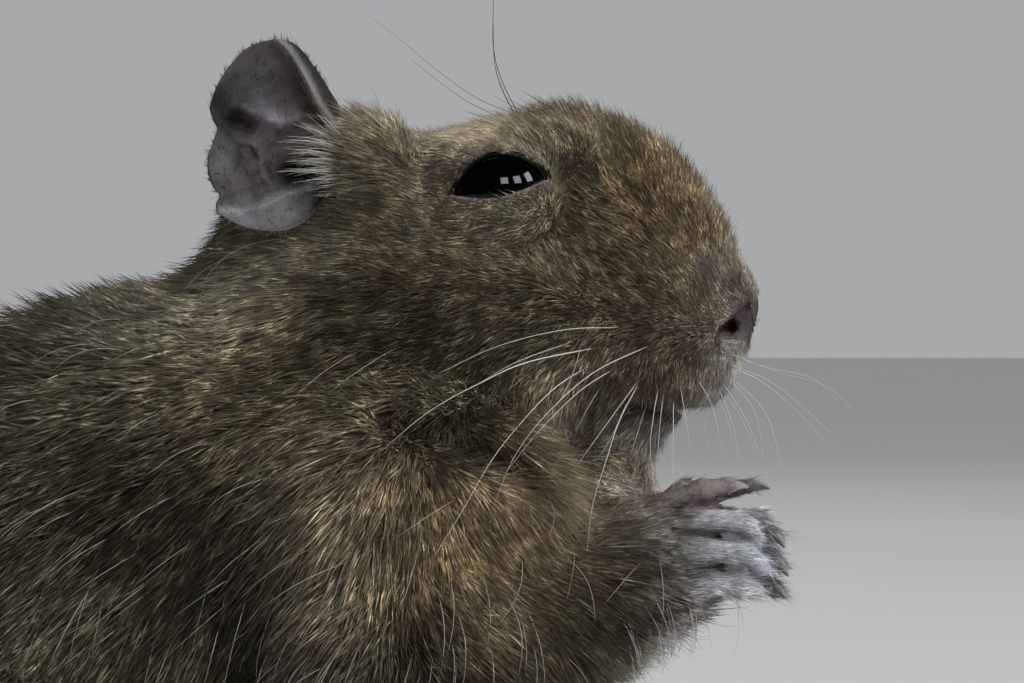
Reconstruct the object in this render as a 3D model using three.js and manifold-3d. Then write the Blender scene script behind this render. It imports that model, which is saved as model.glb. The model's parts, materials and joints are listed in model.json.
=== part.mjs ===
import * as THREE from "three";
import { mergeVertices } from "three/addons/utils/BufferGeometryUtils.js";
import Module from "manifold-3d";

// A life-size degu that sits on its haunches and holds both forepaws up to its mouth.
// Millimetres, +Z up, +X towards the nose, +Y to the animal's left. The floor is z = 0.
// The outlines are those of the tips of the coat, not of the skin.

const wasm = await Module();
wasm.setup();

// Driving dimensions
const middleOfLength = -75.3; // x of the middle of the whole length, which becomes the origin
const gap = 0.3; // kept between pieces that touch
const eyeCentre = [-1.5, 8, 87];
const eyeRadius = 4.7;
const eyeOpening = { length: 8.9, above: 2.7, below: 1.5 };
const lidThickness = 0.75;
const nostrilRadii = { hole: [1.25, 0.6], slit: [0.6, 0.35] }; // at the surface and at the inner end
const earPlace = [-20.4, 13.2, 91.6];
const earDepth = 3.4;
const earThickness = 0.95;
const shoulder = [-10, 15, 58.4];
const elbow = [-9, 19.5, 44];
const wrist = [12.6, 7.8, 55];
const heel = [-43, 24.5, 4.7];
const footLength = 38;
const heelBack = -2.5; // how far the foot reaches back from the heel's place
const toesOut = 7; // degrees that each hind foot turns outwards
const pressed = 0.25; // how deep a round form is flattened where it rests on the floor
const leftHandReach = [2.4, 0, -0.4]; // how far the left forepaw is held past the right one

// Grid steps for the surfaces of the fleshy pieces
const headCell = 2.3;
const neckCell = 5;
const torsoCell = 6.4;
const thighCell = 5.8;
const armCell = 4;

// Forms of the head, as ellipsoids whose long axis can pitch up and yaw out
const headForms = [
  { at: [-9.5, 0, 81.9], radii: [16, 11.5, 11.8] }, // braincase
  { at: [5.9, 0, 81.9], radii: [14.7, 7.6, 12.4], pitch: -33 }, // bridge of the muzzle
  { at: [13.3, 0, 77], radii: [5.3, 5, 7], pitch: -24 }, // end of the muzzle
  { at: [18.6, 0, 77.4], radii: [2.7, 3, 2.6] }, // nose pad
  { at: [16, 0, 72.2], radii: [3, 3.4, 3.6], pitch: -24 }, // upper lip
  { at: [5, 0, 66.6], radii: [8.2, 4.2, 4], pitch: 4 }, // lower jaw
  { at: [-3, 0, 64.5], radii: [13, 9, 8.5] }, // throat under the jaw
];
const pairedHeadForms = [
  { at: [10.8, 4.4, 74.2], radii: [8.2, 4.6, 6], pitch: -14 }, // whisker pad
  { at: [-4.5, 7.6, 76.4], radii: [13.5, 7.6, 9.6], pitch: -10 }, // cheek
  { at: [-14, 7, 74.5], radii: [11, 9, 10.5] }, // back of the jaw
  { at: [0.5, 6.6, 91], radii: [7, 3.2, 2.6], pitch: 4 }, // brow
  { at: [-13, 8.4, 89.8], radii: [4.6, 3.4, 4.6], pitch: 10 }, // root of the ear
];
const neckForms = [{ from: [-14, 0, 73.5], to: [-31, 0, 60.5], radii: [12.2, 16.7] }];

// Forms of the body, from the breast back to the rump
const torsoForms = [
  { at: [-35.5, 0, 64.4], radii: [12.5, 12, 13.1], pitch: 25 }, // withers
  { at: [-38, 0, 53], radii: [21, 21, 21] }, // chest
  { at: [-54, 0, 43], radii: [25, 28, 26] }, // back
  { at: [-69, 0, 28.2], radii: [26, 31, 29] }, // rump
  { at: [-38, 0, 24], radii: [27, 27, 23] }, // belly
  { at: [-12, 0, 50], radii: [15, 13, 13] }, // breast
  { at: [3.2, 0, 59], radii: [7.4, 5.4, 4.6] }, // full coat of the throat, behind the forepaws
];
const pairedTorsoForms = [{ at: [-26, 11, 57], radii: [14, 11, 15] }]; // shoulder blade
const thighForms = [
  { at: [-55, 22, 26], radii: [27, 14, 23], pitch: 6 }, // haunch
  { at: [-30, 26, 23], radii: [12.5, 9.5, 14] }, // knee
];
const thighBlank = { at: [-47, 24, 24], radii: [39, 20, 29], pitch: 3 };
const shankForms = [{ from: [-29, 27.5, 16], to: [-41, 25.5, 7], radii: [8.5, 6.2] }];
const upperArmForms = [{ from: shoulder, to: elbow, radii: [11.5, 9.6] }];
const forearmForms = [{ from: elbow, to: wrist, radii: [9.6, 4.9] }];

const radians = THREE.MathUtils.degToRad;

// Small helpers for mirrored pairs and points

const sides = { left: 1, right: -1 };

function across(point, side) {
  return [point[0], point[1] * side, point[2]];
}

function moved(point, shift) {
  return point.map((value, axis) => value + shift[axis]);
}

function mirrored(form) {
  if (form.from) return { ...form, from: across(form.from, -1), to: across(form.to, -1) };
  return { ...form, at: across(form.at, -1), yaw: -(form.yaw ?? 0) };
}

function bothSides(forms) {
  return [...forms, ...forms.map(mirrored)];
}

function onSide(forms, side) {
  return side > 0 ? forms : forms.map(mirrored);
}

// Fields, which are negative inside a form and grow about as the distance from it

function ellipsoidField({ at, radii, pitch = 0, yaw = 0 }) {
  const turn = new THREE.Euler(0, -radians(pitch), radians(yaw), "ZYX");
  const back = new THREE.Matrix4().makeRotationFromEuler(turn).transpose();
  const local = new THREE.Vector3();
  return (x, y, z) => {
    local.set(x - at[0], y - at[1], z - at[2]).applyMatrix4(back);
    const [u, v, w] = [local.x / radii[0], local.y / radii[1], local.z / radii[2]];
    const near = Math.hypot(u, v, w);
    const slope = Math.hypot(u / radii[0], v / radii[1], w / radii[2]);
    return slope < 1e-9 ? -Math.min(...radii) : (near * (near - 1)) / slope;
  };
}

function coneField({ from, to, radii }) {
  const axis = new THREE.Vector3(...to).sub(new THREE.Vector3(...from));
  const long2 = axis.lengthSq();
  const drop = radii[0] - radii[1];
  const lean = long2 - drop * drop;
  const local = new THREE.Vector3();
  const off = new THREE.Vector3();
  return (x, y, z) => {
    local.set(x - from[0], y - from[1], z - from[2]);
    const along = local.dot(axis);
    const past = along - long2;
    off.copy(local).multiplyScalar(long2).addScaledVector(axis, -along);
    const side2 = off.lengthSq();
    const along2 = along * along * long2;
    const past2 = past * past * long2;
    const k = Math.sign(drop) * drop * drop * side2;
    if (Math.sign(past) * lean * past2 > k) return Math.sqrt(side2 + past2) / long2 - radii[1];
    if (Math.sign(along) * lean * along2 < k) return Math.sqrt(side2 + along2) / long2 - radii[0];
    return (Math.sqrt((side2 * lean) / long2) + along * drop) / long2 - radii[0];
  };
}

function smoothMin(a, b, softness) {
  const reach = Math.max(softness - Math.abs(a - b), 0);
  return Math.min(a, b) - (reach * reach) / (4 * softness);
}

// The forms melted into one field, with fillets as wide as softness says.
function melted(forms, softness) {
  const fields = forms.map((form) => (form.from ? coneField(form) : ellipsoidField(form)));
  return (x, y, z) => {
    let value = fields[0](x, y, z);
    for (let i = 1; i < fields.length; i++) value = smoothMin(value, fields[i](x, y, z), softness);
    return value;
  };
}

function joined(a, b, softness) {
  return (x, y, z) => smoothMin(a(x, y, z), b(x, y, z), softness);
}

function swollen(field, by) {
  return (x, y, z) => field(x, y, z) - by;
}

// A closed surface round field < 0 inside the box: one vertex in each grid cell that the surface
// crosses, pulled onto the surface, and one quad for each grid edge that it crosses.
function polygonise(field, low, high, cell) {
  const count = low.map((value, axis) => Math.ceil((high[axis] - value) / cell) + 2);
  const place = (i, axis) => low[axis] + (i - 0.5) * cell;
  const stride = [1, count[0], count[0] * count[1]];
  const value = new Float64Array(count[0] * count[1] * count[2]);
  const insideBox = (x, y, z) =>
    Math.max(low[0] - x, x - high[0], low[1] - y, y - high[1], low[2] - z, z - high[2]);
  const bounded = (x, y, z) => Math.max(field(x, y, z), insideBox(x, y, z));
  const eachNode = (shorter, visit) => {
    for (let k = 0; k < count[2] - shorter; k++)
      for (let j = 0; j < count[1] - shorter; j++)
        for (let i = 0; i < count[0] - shorter; i++)
          visit([i, j, k], i + j * stride[1] + k * stride[2]);
  };
  eachNode(0, ([i, j, k], node) => {
    value[node] = bounded(place(i, 0), place(j, 1), place(k, 2));
  });

  const positions = [];
  const vertexOfCell = new Map();
  const corners = [0, 1, 2, 3, 4, 5, 6, 7].map((c) => [c & 1, (c >> 1) & 1, c >> 2]);
  const edges = [];
  corners.forEach((from, a) =>
    corners.forEach((to, b) => {
      const apart = Math.abs(to[0] - from[0]) + Math.abs(to[1] - from[1]) + Math.abs(to[2] - from[2]);
      if (b > a && apart === 1) edges.push([a, b]);
    }),
  );
  const offset = corners.map((c) => c[0] + c[1] * stride[1] + c[2] * stride[2]);
  const step = 0.05 * cell;
  const pulled = (point) => {
    const p = [...point];
    for (let turn = 0; turn < 4; turn++) {
      const here = bounded(...p);
      const slope = [0, 1, 2].map((axis) => {
        const q = [...p];
        q[axis] += step;
        return (bounded(...q) - here) / step;
      });
      const steep = slope[0] ** 2 + slope[1] ** 2 + slope[2] ** 2;
      if (steep < 0.05) break;
      const most = 0.35 * cell;
      for (const axis of [0, 1, 2]) {
        const move = (-here * slope[axis]) / steep;
        p[axis] += THREE.MathUtils.clamp(move, -most, most);
        p[axis] = THREE.MathUtils.clamp(p[axis], point[axis] - 0.5 * cell, point[axis] + 0.5 * cell);
      }
    }
    return p;
  };
  eachNode(1, (at, node) => {
    const sum = [0, 0, 0];
    let crossed = 0;
    for (const [a, b] of edges) {
      const va = value[node + offset[a]];
      const vb = value[node + offset[b]];
      if (va < 0 === vb < 0) continue;
      const share = va / (va - vb);
      for (const axis of [0, 1, 2])
        sum[axis] += place(at[axis] + corners[a][axis] + share * (corners[b][axis] - corners[a][axis]), axis);
      crossed++;
    }
    if (!crossed) return;
    vertexOfCell.set(node, positions.length / 3);
    positions.push(...pulled(sum.map((total) => total / crossed)));
  });

  const index = [];
  const apart2 = (a, b) =>
    [0, 1, 2].reduce((sum, axis) => sum + (positions[3 * a + axis] - positions[3 * b + axis]) ** 2, 0);
  eachNode(1, (at, node) => {
    for (const axis of [0, 1, 2]) {
      const [u, v] = [(axis + 1) % 3, (axis + 2) % 3];
      if (at[u] === 0 || at[v] === 0) continue;
      const inside = value[node] < 0;
      if (inside === value[node + stride[axis]] < 0) continue;
      const around = [0, stride[u], stride[u] + stride[v], stride[v]];
      const quad = around.map((back) => vertexOfCell.get(node - back));
      if (!inside) quad.reverse();
      const [a, b, c, d] = quad;
      if (apart2(a, c) < apart2(b, d)) index.push(a, b, c, a, c, d);
      else index.push(b, c, d, b, d, a);
    }
  });
  const geometry = new THREE.BufferGeometry();
  geometry.setAttribute("position", new THREE.Float32BufferAttribute(positions, 3));
  geometry.setIndex(index);
  return solid(geometry);
}

// Solids, which are geometries whose shared vertices are merged

function solid(geometry) {
  const plain = geometry.index ? geometry.toNonIndexed() : geometry.clone();
  for (const name of ["normal", "uv"]) plain.deleteAttribute(name);
  const merged = mergeVertices(plain, 1e-4);
  return new wasm.Manifold(
    new wasm.Mesh({
      numProp: 3,
      vertProperties: new Float32Array(merged.attributes.position.array),
      triVerts: new Uint32Array(merged.index.array),
    }),
  );
}

function union(solids) {
  return solids.reduce((all, next) => all.add(next));
}

function largest(whole) {
  return whole.decompose().reduce((best, piece) => (piece.volume() > best.volume() ? piece : best));
}

function ellipsoidSolid({ at, radii, pitch = 0, yaw = 0 }, grown = 0, detail = [20, 12]) {
  const geometry = new THREE.SphereGeometry(1, ...detail);
  geometry.scale(...radii.map((radius) => radius + grown));
  geometry.applyMatrix4(
    new THREE.Matrix4().makeRotationFromEuler(new THREE.Euler(0, -radians(pitch), radians(yaw), "ZYX")),
  );
  geometry.translate(...at);
  return solid(geometry);
}

// A plain closed form round a whole limb or part of one, which is only used to part the flesh.
function blank(form, grown) {
  if (form.at) return ellipsoidSolid(form, grown, [14, 9]);
  const [r1, r2] = form.radii.map((radius) => radius + grown);
  const from = new THREE.Vector3(...form.from);
  const to = new THREE.Vector3(...form.to);
  const long = from.distanceTo(to);
  const along = to.clone().sub(from).divideScalar(long);
  const whole = long + r1 + r2;
  const radius = (t) => {
    const s = t * whole - r1;
    const past = s < 0 ? -s / r1 : Math.max(0, (s - long) / r2);
    const plain = THREE.MathUtils.lerp(r1, r2, THREE.MathUtils.clamp(s / long, 0, 1));
    return plain * Math.sqrt(Math.max(0.08, 1 - past * past));
  };
  const ends = [from.addScaledVector(along, -r1), to.addScaledVector(along, r2)];
  const up = Math.abs(along.z) > 0.8 ? [1, 0, 0] : [0, 0, 1];
  return loft(ends.map((end) => end.toArray()), radius, radius, { around: 12, rings: 7, up });
}

// Everything on the side of a plane that its normal points to, as a very large block.
function beyond(point, normal, shift = 0) {
  const size = 400;
  const n = new THREE.Vector3(...normal).normalize();
  const geometry = new THREE.BoxGeometry(size, size, size);
  geometry.translate(0, 0, size / 2 + shift);
  geometry.applyQuaternion(new THREE.Quaternion().setFromUnitVectors(new THREE.Vector3(0, 0, 1), n));
  geometry.translate(...point);
  return solid(geometry);
}

const aboveFloor = beyond([0, 0, 0], [0, 0, 1]);

// A closed body round a curve, with elliptical sections and flat ends. The half width is measured
// across the curve and the half height along the reference direction.
function loft(path, halfWidth, halfHeight, { around = 8, rings = 7, up = [0, 0, 1] } = {}) {
  const through = (points) => new THREE.CatmullRomCurve3(points.map((p) => new THREE.Vector3(...p)));
  const curve = Array.isArray(path) ? through(path) : path;
  const reference = new THREE.Vector3(...up);
  const positions = [];
  const index = [];
  for (let r = 0; r <= rings; r++) {
    const t = r / rings;
    const centre = curve.getPointAt(t);
    const forward = curve.getTangentAt(t);
    const aside = new THREE.Vector3().crossVectors(forward, reference).normalize();
    const over = new THREE.Vector3().crossVectors(aside, forward);
    for (let s = 0; s < around; s++) {
      const angle = (2 * Math.PI * (s + 0.5)) / around;
      const point = centre
        .clone()
        .addScaledVector(aside, halfWidth(t) * Math.cos(angle))
        .addScaledVector(over, halfHeight(t) * Math.sin(angle));
      positions.push(point.x, point.y, point.z);
    }
  }
  const ends = [curve.getPointAt(0), curve.getPointAt(1)];
  const firstEnd = positions.length / 3;
  ends.forEach((end) => positions.push(end.x, end.y, end.z));
  for (let s = 0; s < around; s++) {
    const next = (s + 1) % around;
    for (let r = 0; r < rings; r++) {
      const [a, b, c, d] = [
        r * around + s,
        r * around + next,
        (r + 1) * around + next,
        (r + 1) * around + s,
      ];
      index.push(a, c, b, a, d, c);
    }
    index.push(firstEnd, s, next);
    index.push(firstEnd + 1, rings * around + next, rings * around + s);
  }
  const geometry = new THREE.BufferGeometry();
  geometry.setAttribute("position", new THREE.Float32BufferAttribute(positions, 3));
  geometry.setIndex(index);
  return solid(geometry);
}

const between = (a, b) => (t) => THREE.MathUtils.lerp(a, b, t);

// Fields of the whole body

const headField = melted([...headForms, ...bothSides(pairedHeadForms)], 4.5);
const trunkField = joined(
  joined(headField, melted(neckForms, 1), 9),
  melted([...torsoForms, ...bothSides(pairedTorsoForms)], 9),
  10,
);
const thighField = melted(bothSides(thighForms), 7);
const shankField = melted(bothSides(shankForms), 1);
const legField = joined(thighField, shankField, 4);
const upperArmField = melted(bothSides(upperArmForms), 1);
const bodyField = joined(joined(trunkField, legField, 8), upperArmField, 5);

// Planes that part the head, neck and torso, slanting down from the nape to the throat
const neckNormal = [0.549, 0, 0.836];
const headPlane = [-24.6, 0, 82.6];
const neckLength = 9;
const torsoPlane = moved(headPlane, neckNormal.map((value) => -neckLength * value));

// Head

// The outline of the eye's opening, seen along the gaze: a high upper arc over a flatter lower one.
function openingShape() {
  const half = eyeOpening.length / 2;
  const shape = new THREE.Shape();
  shape.moveTo(-half, 0);
  shape.quadraticCurveTo(-0.2 * half, 2 * eyeOpening.above, half, 0);
  shape.quadraticCurveTo(0, -2 * eyeOpening.below, -half, 0);
  return shape;
}

const gaze = { out: [0.2, 0.94, 0.26], tilt: 16 };

// A prism of the opening that starts at the middle of the eye and runs out along the gaze.
function openingPrism(side) {
  const geometry = new THREE.ExtrudeGeometry(openingShape(), {
    depth: 9,
    bevelEnabled: false,
    curveSegments: 6,
  });
  geometry.translate(0, -1, 0);
  geometry.rotateZ(radians(gaze.tilt));
  const out = new THREE.Vector3(...across(gaze.out, 1)).normalize();
  const forward = new THREE.Vector3(1, 0, 0).addScaledVector(out, -out.x).normalize();
  const up = new THREE.Vector3().crossVectors(forward, out).normalize();
  if (up.z < 0) up.negate();
  const basis = new THREE.Matrix4().makeBasis(forward, up, out);
  geometry.applyMatrix4(basis);
  geometry.translate(...across(eyeCentre, 1));
  const positive = basis.determinant() > 0;
  if (!positive) flipFaces(geometry);
  if (side < 0) {
    geometry.scale(1, -1, 1);
    flipFaces(geometry);
  }
  return solid(geometry);
}

function flipFaces(geometry) {
  const place = geometry.attributes.position.array;
  if (geometry.index) {
    const order = geometry.index.array;
    for (let i = 0; i < order.length; i += 3) [order[i], order[i + 1]] = [order[i + 1], order[i]];
    return;
  }
  for (let i = 0; i < place.length; i += 9)
    for (let axis = 0; axis < 3; axis++)
      [place[i + axis], place[i + 3 + axis]] = [place[i + 3 + axis], place[i + axis]];
}

function ball(at, radius, detail = 2) {
  const geometry = new THREE.IcosahedronGeometry(radius, detail);
  geometry.translate(...at);
  return solid(geometry);
}

// The line of the mouth from the front of the lips back towards the cheek, as a thin blade.
function mouthCut() {
  const line = new THREE.CatmullRomCurve3(
    [
      [24, 0, 69.4],
      [18.5, 0, 68.6],
      [13.5, 0, 68.6],
      [9, 0, 69.6],
    ].map((p) => new THREE.Vector3(...p)),
  );
  const half = 0.3;
  const points = line.getPoints(8);
  const shape = new THREE.Shape([
    ...points.map((p) => new THREE.Vector2(p.x, p.z + half)),
    ...points.reverse().map((p) => new THREE.Vector2(p.x, p.z - half)),
  ]);
  const width = 24;
  const geometry = new THREE.ExtrudeGeometry(shape, { depth: width, bevelEnabled: false });
  geometry.rotateX(Math.PI / 2);
  geometry.translate(0, width / 2, 0);
  return solid(geometry);
}

// The groove that runs from between the nostrils down to the lip.
function lipCleft() {
  const geometry = new THREE.BoxGeometry(3, 0.55, 9);
  geometry.rotateY(radians(-22));
  geometry.translate(20.6, 0, 72);
  return solid(geometry);
}

// A nostril, which is a round hole that runs in from the side with a slit that curls up from it.
function nostril(side) {
  const hole = [
    [18.9, 7.2, 75.2],
    [18.8, 5, 75.5],
    [18.8, 2.6, 75.9],
  ];
  const slit = [
    [19.1, 5.8, 75.8],
    [20.1, 4.6, 76.7],
    [20.9, 3.3, 77.7],
  ];
  const tube = (points, [first, last]) => {
    const radius = between(first, last);
    return loft(points.map((point) => across(point, side)), radius, radius, { around: 8, rings: 3 });
  };
  return tube(hole, nostrilRadii.hole).add(tube(slit, nostrilRadii.slit));
}

const headBox = [
  [-32, -20, 52],
  [25, 20, 99],
];

function makeHead() {
  const flesh = polygonise(trunkField, ...headBox, headCell);
  const above = flesh.intersect(beyond(headPlane, neckNormal, gap / 2));
  let head = largest(above);
  for (const side of Object.values(sides)) {
    const centre = across(eyeCentre, side);
    head = head.add(ball(centre, eyeRadius + gap + lidThickness));
    head = head.subtract(ball(centre, eyeRadius + gap)).subtract(openingPrism(side));
    head = head.subtract(nostril(side));
  }
  return largest(head.subtract(mouthCut()).subtract(lipCleft()));
}

// Ears

// The rim of the left ear as seen from the side, from the tip down the rear edge with its notch,
// round the lobe and up the front edge: how far each point lies forwards and up from the ear's place.
const earRim = [
  [0.6, 8.7],
  [-2, 7.9],
  [-4, 5.2],
  [-5, 2.6],
  [-4.8, 1.1],
  [-4.3, 0.4],
  [-5, -1],
  [-4.8, -3.4],
  [-4.3, -5.9],
  [-1.9, -7.7],
  [1.8, -7.9],
  [4.2, -5.6],
  [5.6, -1.6],
  [5.4, 2.6],
  [3.8, 5.6],
  [2.2, 7.9],
];
const earLean = [0.6, 0.2]; // how far the ear's plane turns outwards towards its rear and its foot
const earBottom = [1.2, -2.6]; // the deepest place of the cup, in front of the notch

function makeEar(side, flesh) {
  const around = 24;
  const rings = 5;
  const rim = new THREE.CatmullRomCurve3(earRim.map(([x, z]) => new THREE.Vector3(x, 0, z)), true);
  const onRim = rim.getSpacedPoints(around).slice(0, around);
  const cup = (share, s) => {
    const edge = onRim[s % around];
    const x = THREE.MathUtils.lerp(earBottom[0], edge.x, share);
    const z = THREE.MathUtils.lerp(earBottom[1], edge.z, share);
    const bowl = earDepth * (share ** 2 - 1);
    const faint = (share < 0.95 ? 1 : 0.3) * (x < 2.5 ? 1 : 0.3);
    const fold = 0.8 * faint * Math.exp(-(((z - 0.4 - 0.2 * x) / 1.1) ** 2));
    const roll = 0.8 * share ** 4 * Math.exp(-(((x + 5) / 2) ** 2));
    const y = bowl + fold + roll - earLean[0] * x - earLean[1] * z;
    return new THREE.Vector3(earPlace[0] + x, earPlace[1] + y, earPlace[2] + z);
  };
  const outward = new THREE.Vector3(earLean[0], 1, earLean[1]).normalize();
  const positions = [];
  const index = [];
  for (const face of [1, -1]) {
    for (let r = 0; r <= rings; r++)
      for (let s = 0; s < (r ? around : 1); s++) {
        const share = r / rings;
        const thick = (earThickness / 2) * (1 - 0.35 * share ** 3);
        const p = cup(share, s).addScaledVector(outward, face * thick);
        positions.push(p.x, side * p.y, p.z);
      }
  }
  const layer = 1 + rings * around;
  const at = (face, r, s) => face * layer + (r ? 1 + (r - 1) * around + (s % around) : 0);
  const add = (...corners) => index.push(...(side > 0 ? corners : corners.reverse()));
  for (let s = 0; s < around; s++) {
    for (let r = 0; r < rings; r++) {
      for (const face of [0, 1]) {
        const [a, b] = [at(face, r + 1, s), at(face, r + 1, s + 1)];
        const [c, d] = [at(face, r, s + 1), at(face, r, s)];
        const corners = [[d, a, b]];
        if (r) corners.push([d, b, c]);
        for (const t of corners) add(...(face ? t.reverse() : t));
      }
    }
    const [a, b, c, d] = [at(0, rings, s), at(0, rings, s + 1), at(1, rings, s), at(1, rings, s + 1)];
    add(a, c, d);
    add(a, d, b);
  }
  const geometry = new THREE.BufferGeometry();
  geometry.setAttribute("position", new THREE.Float32BufferAttribute(positions, 3));
  geometry.setIndex(index);
  let made = solid(geometry);
  if (made.volume() < 0) {
    flipFaces(geometry);
    made = solid(geometry);
  }
  return largest(made.subtract(flesh));
}

// Legs

// A digit with its own flat end, so that its claw can start across the gap from it.
function digit(points, rootRadius, tipRadius) {
  const knuckles = (t) => 1 + 0.1 * Math.sin(3 * Math.PI * t);
  const radius = (t) => THREE.MathUtils.lerp(rootRadius, tipRadius, t) * knuckles(t);
  return loft(points, radius, radius, { around: 6, rings: 3 });
}

// A claw that goes on from a digit's last stretch and bends down by the given drop.
function claw(points, radius, length, drop) {
  const end = new THREE.Vector3(...points.at(-1));
  const along = end.clone().sub(new THREE.Vector3(...points.at(-2))).normalize();
  const down = new THREE.Vector3(...drop);
  const start = end.clone().addScaledVector(along, gap);
  const path = [0, 0.5, 1].map((t) => {
    const p = start.clone().addScaledVector(along, length * t).addScaledVector(down, t * t);
    return [p.x, p.y, p.z];
  });
  return loft(path, between(radius, 0.14), between(radius * 1.15, 0.14), { around: 5, rings: 3 });
}

// The four long fingers of the left forepaw: knuckle, bend and tip, from the index outwards.
const fingers = [
  { knuckle: [13.4, 7.2, 60], bend: [16.4, 7, 61.6], tip: [18.8, 5.8, 61.9] },
  { knuckle: [15.4, 8.4, 59], bend: [19.6, 8.2, 58.8], tip: [21, 5, 57.6] },
  { knuckle: [15.4, 8.8, 56.6], bend: [20, 8.9, 56.2], tip: [21.4, 5.4, 55] },
  { knuckle: [14.8, 8.4, 54], bend: [19.4, 8.5, 53.4], tip: [21, 5, 52.8] },
];
const palm = { at: [14.2, 6.2, 56], radii: [4.4, 2.9, 4.9], pitch: 20 };
const thumb = [
  [13.2, 5, 59],
  [14.6, 3.6, 61],
  [15.4, 2.6, 61.8],
];
const wristNormal = [0.84, -0.48, 0.26];

function makeForepaw(side) {
  const shift = side > 0 ? leftHandReach : [0, 0, 0];
  const placed = (point) => across(moved(point, shift), side);
  const normal = across(wristNormal, side);
  const start = placed(wrist);
  const stub = [
    moved(start, normal.map((value) => -3 * value)),
    start,
    placed([14, 6.6, 56]),
  ];
  const solids = [
    loft(stub, between(4.1, 3), between(4.5, 4.2), { around: 10, rings: 3 }),
    ellipsoidSolid({ ...palm, at: placed(palm.at) }, 0, [10, 7]),
    digit(thumb.map(placed), 1, 0.7),
  ];
  const claws = [];
  for (const { knuckle, bend, tip } of fingers) {
    const root = knuckle.map((value, axis) => THREE.MathUtils.lerp(value, palm.at[axis], 0.35));
    const path = [root, knuckle, bend, tip].map(placed);
    solids.push(digit(path, 1.5, 0.95));
    claws.push(claw(path.slice(-2), 0.6, 1.7, across([0, -0.8, -0.4], side)));
  }
  const paw = union(solids).intersect(beyond(start, normal, gap / 2));
  return { paw: largest(paw), claws };
}

// One arm: the flesh of the whole body at the arm, parted at the elbow and the wrist, and the
// socket that the rest of the body leaves open for it.
function makeArm(side) {
  const reach = side > 0 ? leftHandReach : [0, 0, 0];
  const hand = across(moved(wrist, reach), side);
  const [top, bend] = [across(shoulder, side), across(elbow, side)];
  const forms = [
    { from: top, to: bend, radii: upperArmForms[0].radii },
    { from: bend, to: hand, radii: forearmForms[0].radii },
  ];
  const own = melted(forms, 4);
  const field = joined(joined(trunkField, legField, 8), own, 5);
  const box = [
    [-36, side > 0 ? 0.4 : -36, 28],
    [20, side > 0 ? 36 : -0.4, 78],
  ];
  const region = union(forms.map((form) => blank(form, 2)));
  const socket = union(forms.map((form) => blank(form, 2 + gap)));
  const arm = polygonise(field, ...box, armCell).intersect(region);
  const elbowNormal = across([0.97, -0.15, -0.18], side);
  const elbowCut = moved(bend, elbowNormal.map((value) => 3.5 * value));
  const pawNormal = across(wristNormal, side);
  const upper = arm.subtract(beyond(elbowCut, elbowNormal, -gap / 2));
  const fore = arm
    .intersect(beyond(elbowCut, elbowNormal, gap / 2))
    .subtract(beyond(hand, pawNormal, -gap / 2));
  return { upper: largest(upper), fore: largest(fore), socket };
}

// Toes of the left hind foot, from the inner one out: where each starts across the ball of the
// foot, how far it reaches, and how much it spreads.
const toes = [
  { across: -3.5, start: 0.6, length: 7.4, spread: -9 },
  { across: -1.9, start: 0.7, length: 9.6, spread: -4 },
  { across: 0, start: 0.72, length: 10.2, spread: 0 },
  { across: 1.9, start: 0.7, length: 9.4, spread: 5 },
  { across: 3.5, start: 0.58, length: 7, spread: 11 },
];

function makeHindFoot(side) {
  const turn = new THREE.Matrix4().makeRotationZ(radians(toesOut)).setPosition(...heel);
  const placed = ([along, aside, up]) => {
    const p = new THREE.Vector3(along, aside, up).applyMatrix4(turn);
    return across([p.x, p.y, p.z], side);
  };
  const ball = 0.72 * footLength;
  const spineFrom = (start) =>
    [
      [start, 0, 0.6],
      [0.25 * ball, 0, -0.4],
      [0.65 * ball, 0, -1],
      [ball, 0, -1.9],
    ].map(placed);
  const width = (t) => 4 + 0.9 * Math.sin(Math.PI * t * 0.9);
  const height = (t) => THREE.MathUtils.lerp(5.4, 3.4, Math.min(1, 1.2 * t));
  const solids = [loft(spineFrom(heelBack), width, height, { around: 10, rings: 5 })];
  const clear = gap + 0.55; // the socket has fewer sides than the foot, so it is a little wider
  const room = (size) => (t) => size(t) + clear;
  const socket = loft(spineFrom(heelBack - clear), room(width), room(height), { around: 8, rings: 3 });
  const claws = [];
  for (const toe of toes) {
    const root = toe.start * footLength;
    const tip = root + toe.length;
    const slide = Math.tan(radians(toe.spread)) * toe.length;
    const low = 1.6 - pressed - heel[2];
    const path = [
      [root - 4, toe.across * 0.7, -2.2],
      [root + 0.35 * toe.length, toe.across + 0.35 * slide, low + 1],
      [tip, toe.across + slide, low],
    ].map(placed);
    solids.push(digit(path, 2, 1.55));
    claws.push(claw(path.slice(-2), 0.85, 3.6, [0, 0, -0.35]));
  }
  const foot = union(solids).intersect(aboveFloor);
  return {
    foot: largest(foot),
    claws: claws.map((one) => largest(one.intersect(aboveFloor))),
    socket,
  };
}

function makeLeg(side, foot) {
  const ownThigh = onSide(thighForms, side);
  const ownShank = onSide(shankForms, side);
  const field = joined(trunkField, joined(melted(ownThigh, 7), melted(ownShank, 1), 4), 8);
  const box = [
    [-94, side > 0 ? 2 : -44, -4],
    [-10, side > 0 ? 44 : -2, 58],
  ];
  const flesh = polygonise(field, ...box, thighCell).intersect(aboveFloor);
  const [wholeThigh] = onSide([thighBlank], side);
  const thighSocket = blank(wholeThigh, gap);
  const shankSocket = blank(ownShank[0], 3 + gap);
  const shank = flesh.intersect(blank(ownShank[0], 3)).subtract(foot);
  const thigh = flesh.intersect(blank(wholeThigh, 0)).subtract(shankSocket).subtract(foot);
  return { thigh: largest(thigh), shank: largest(shank), socket: thighSocket.add(shankSocket) };
}

// Tail

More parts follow.
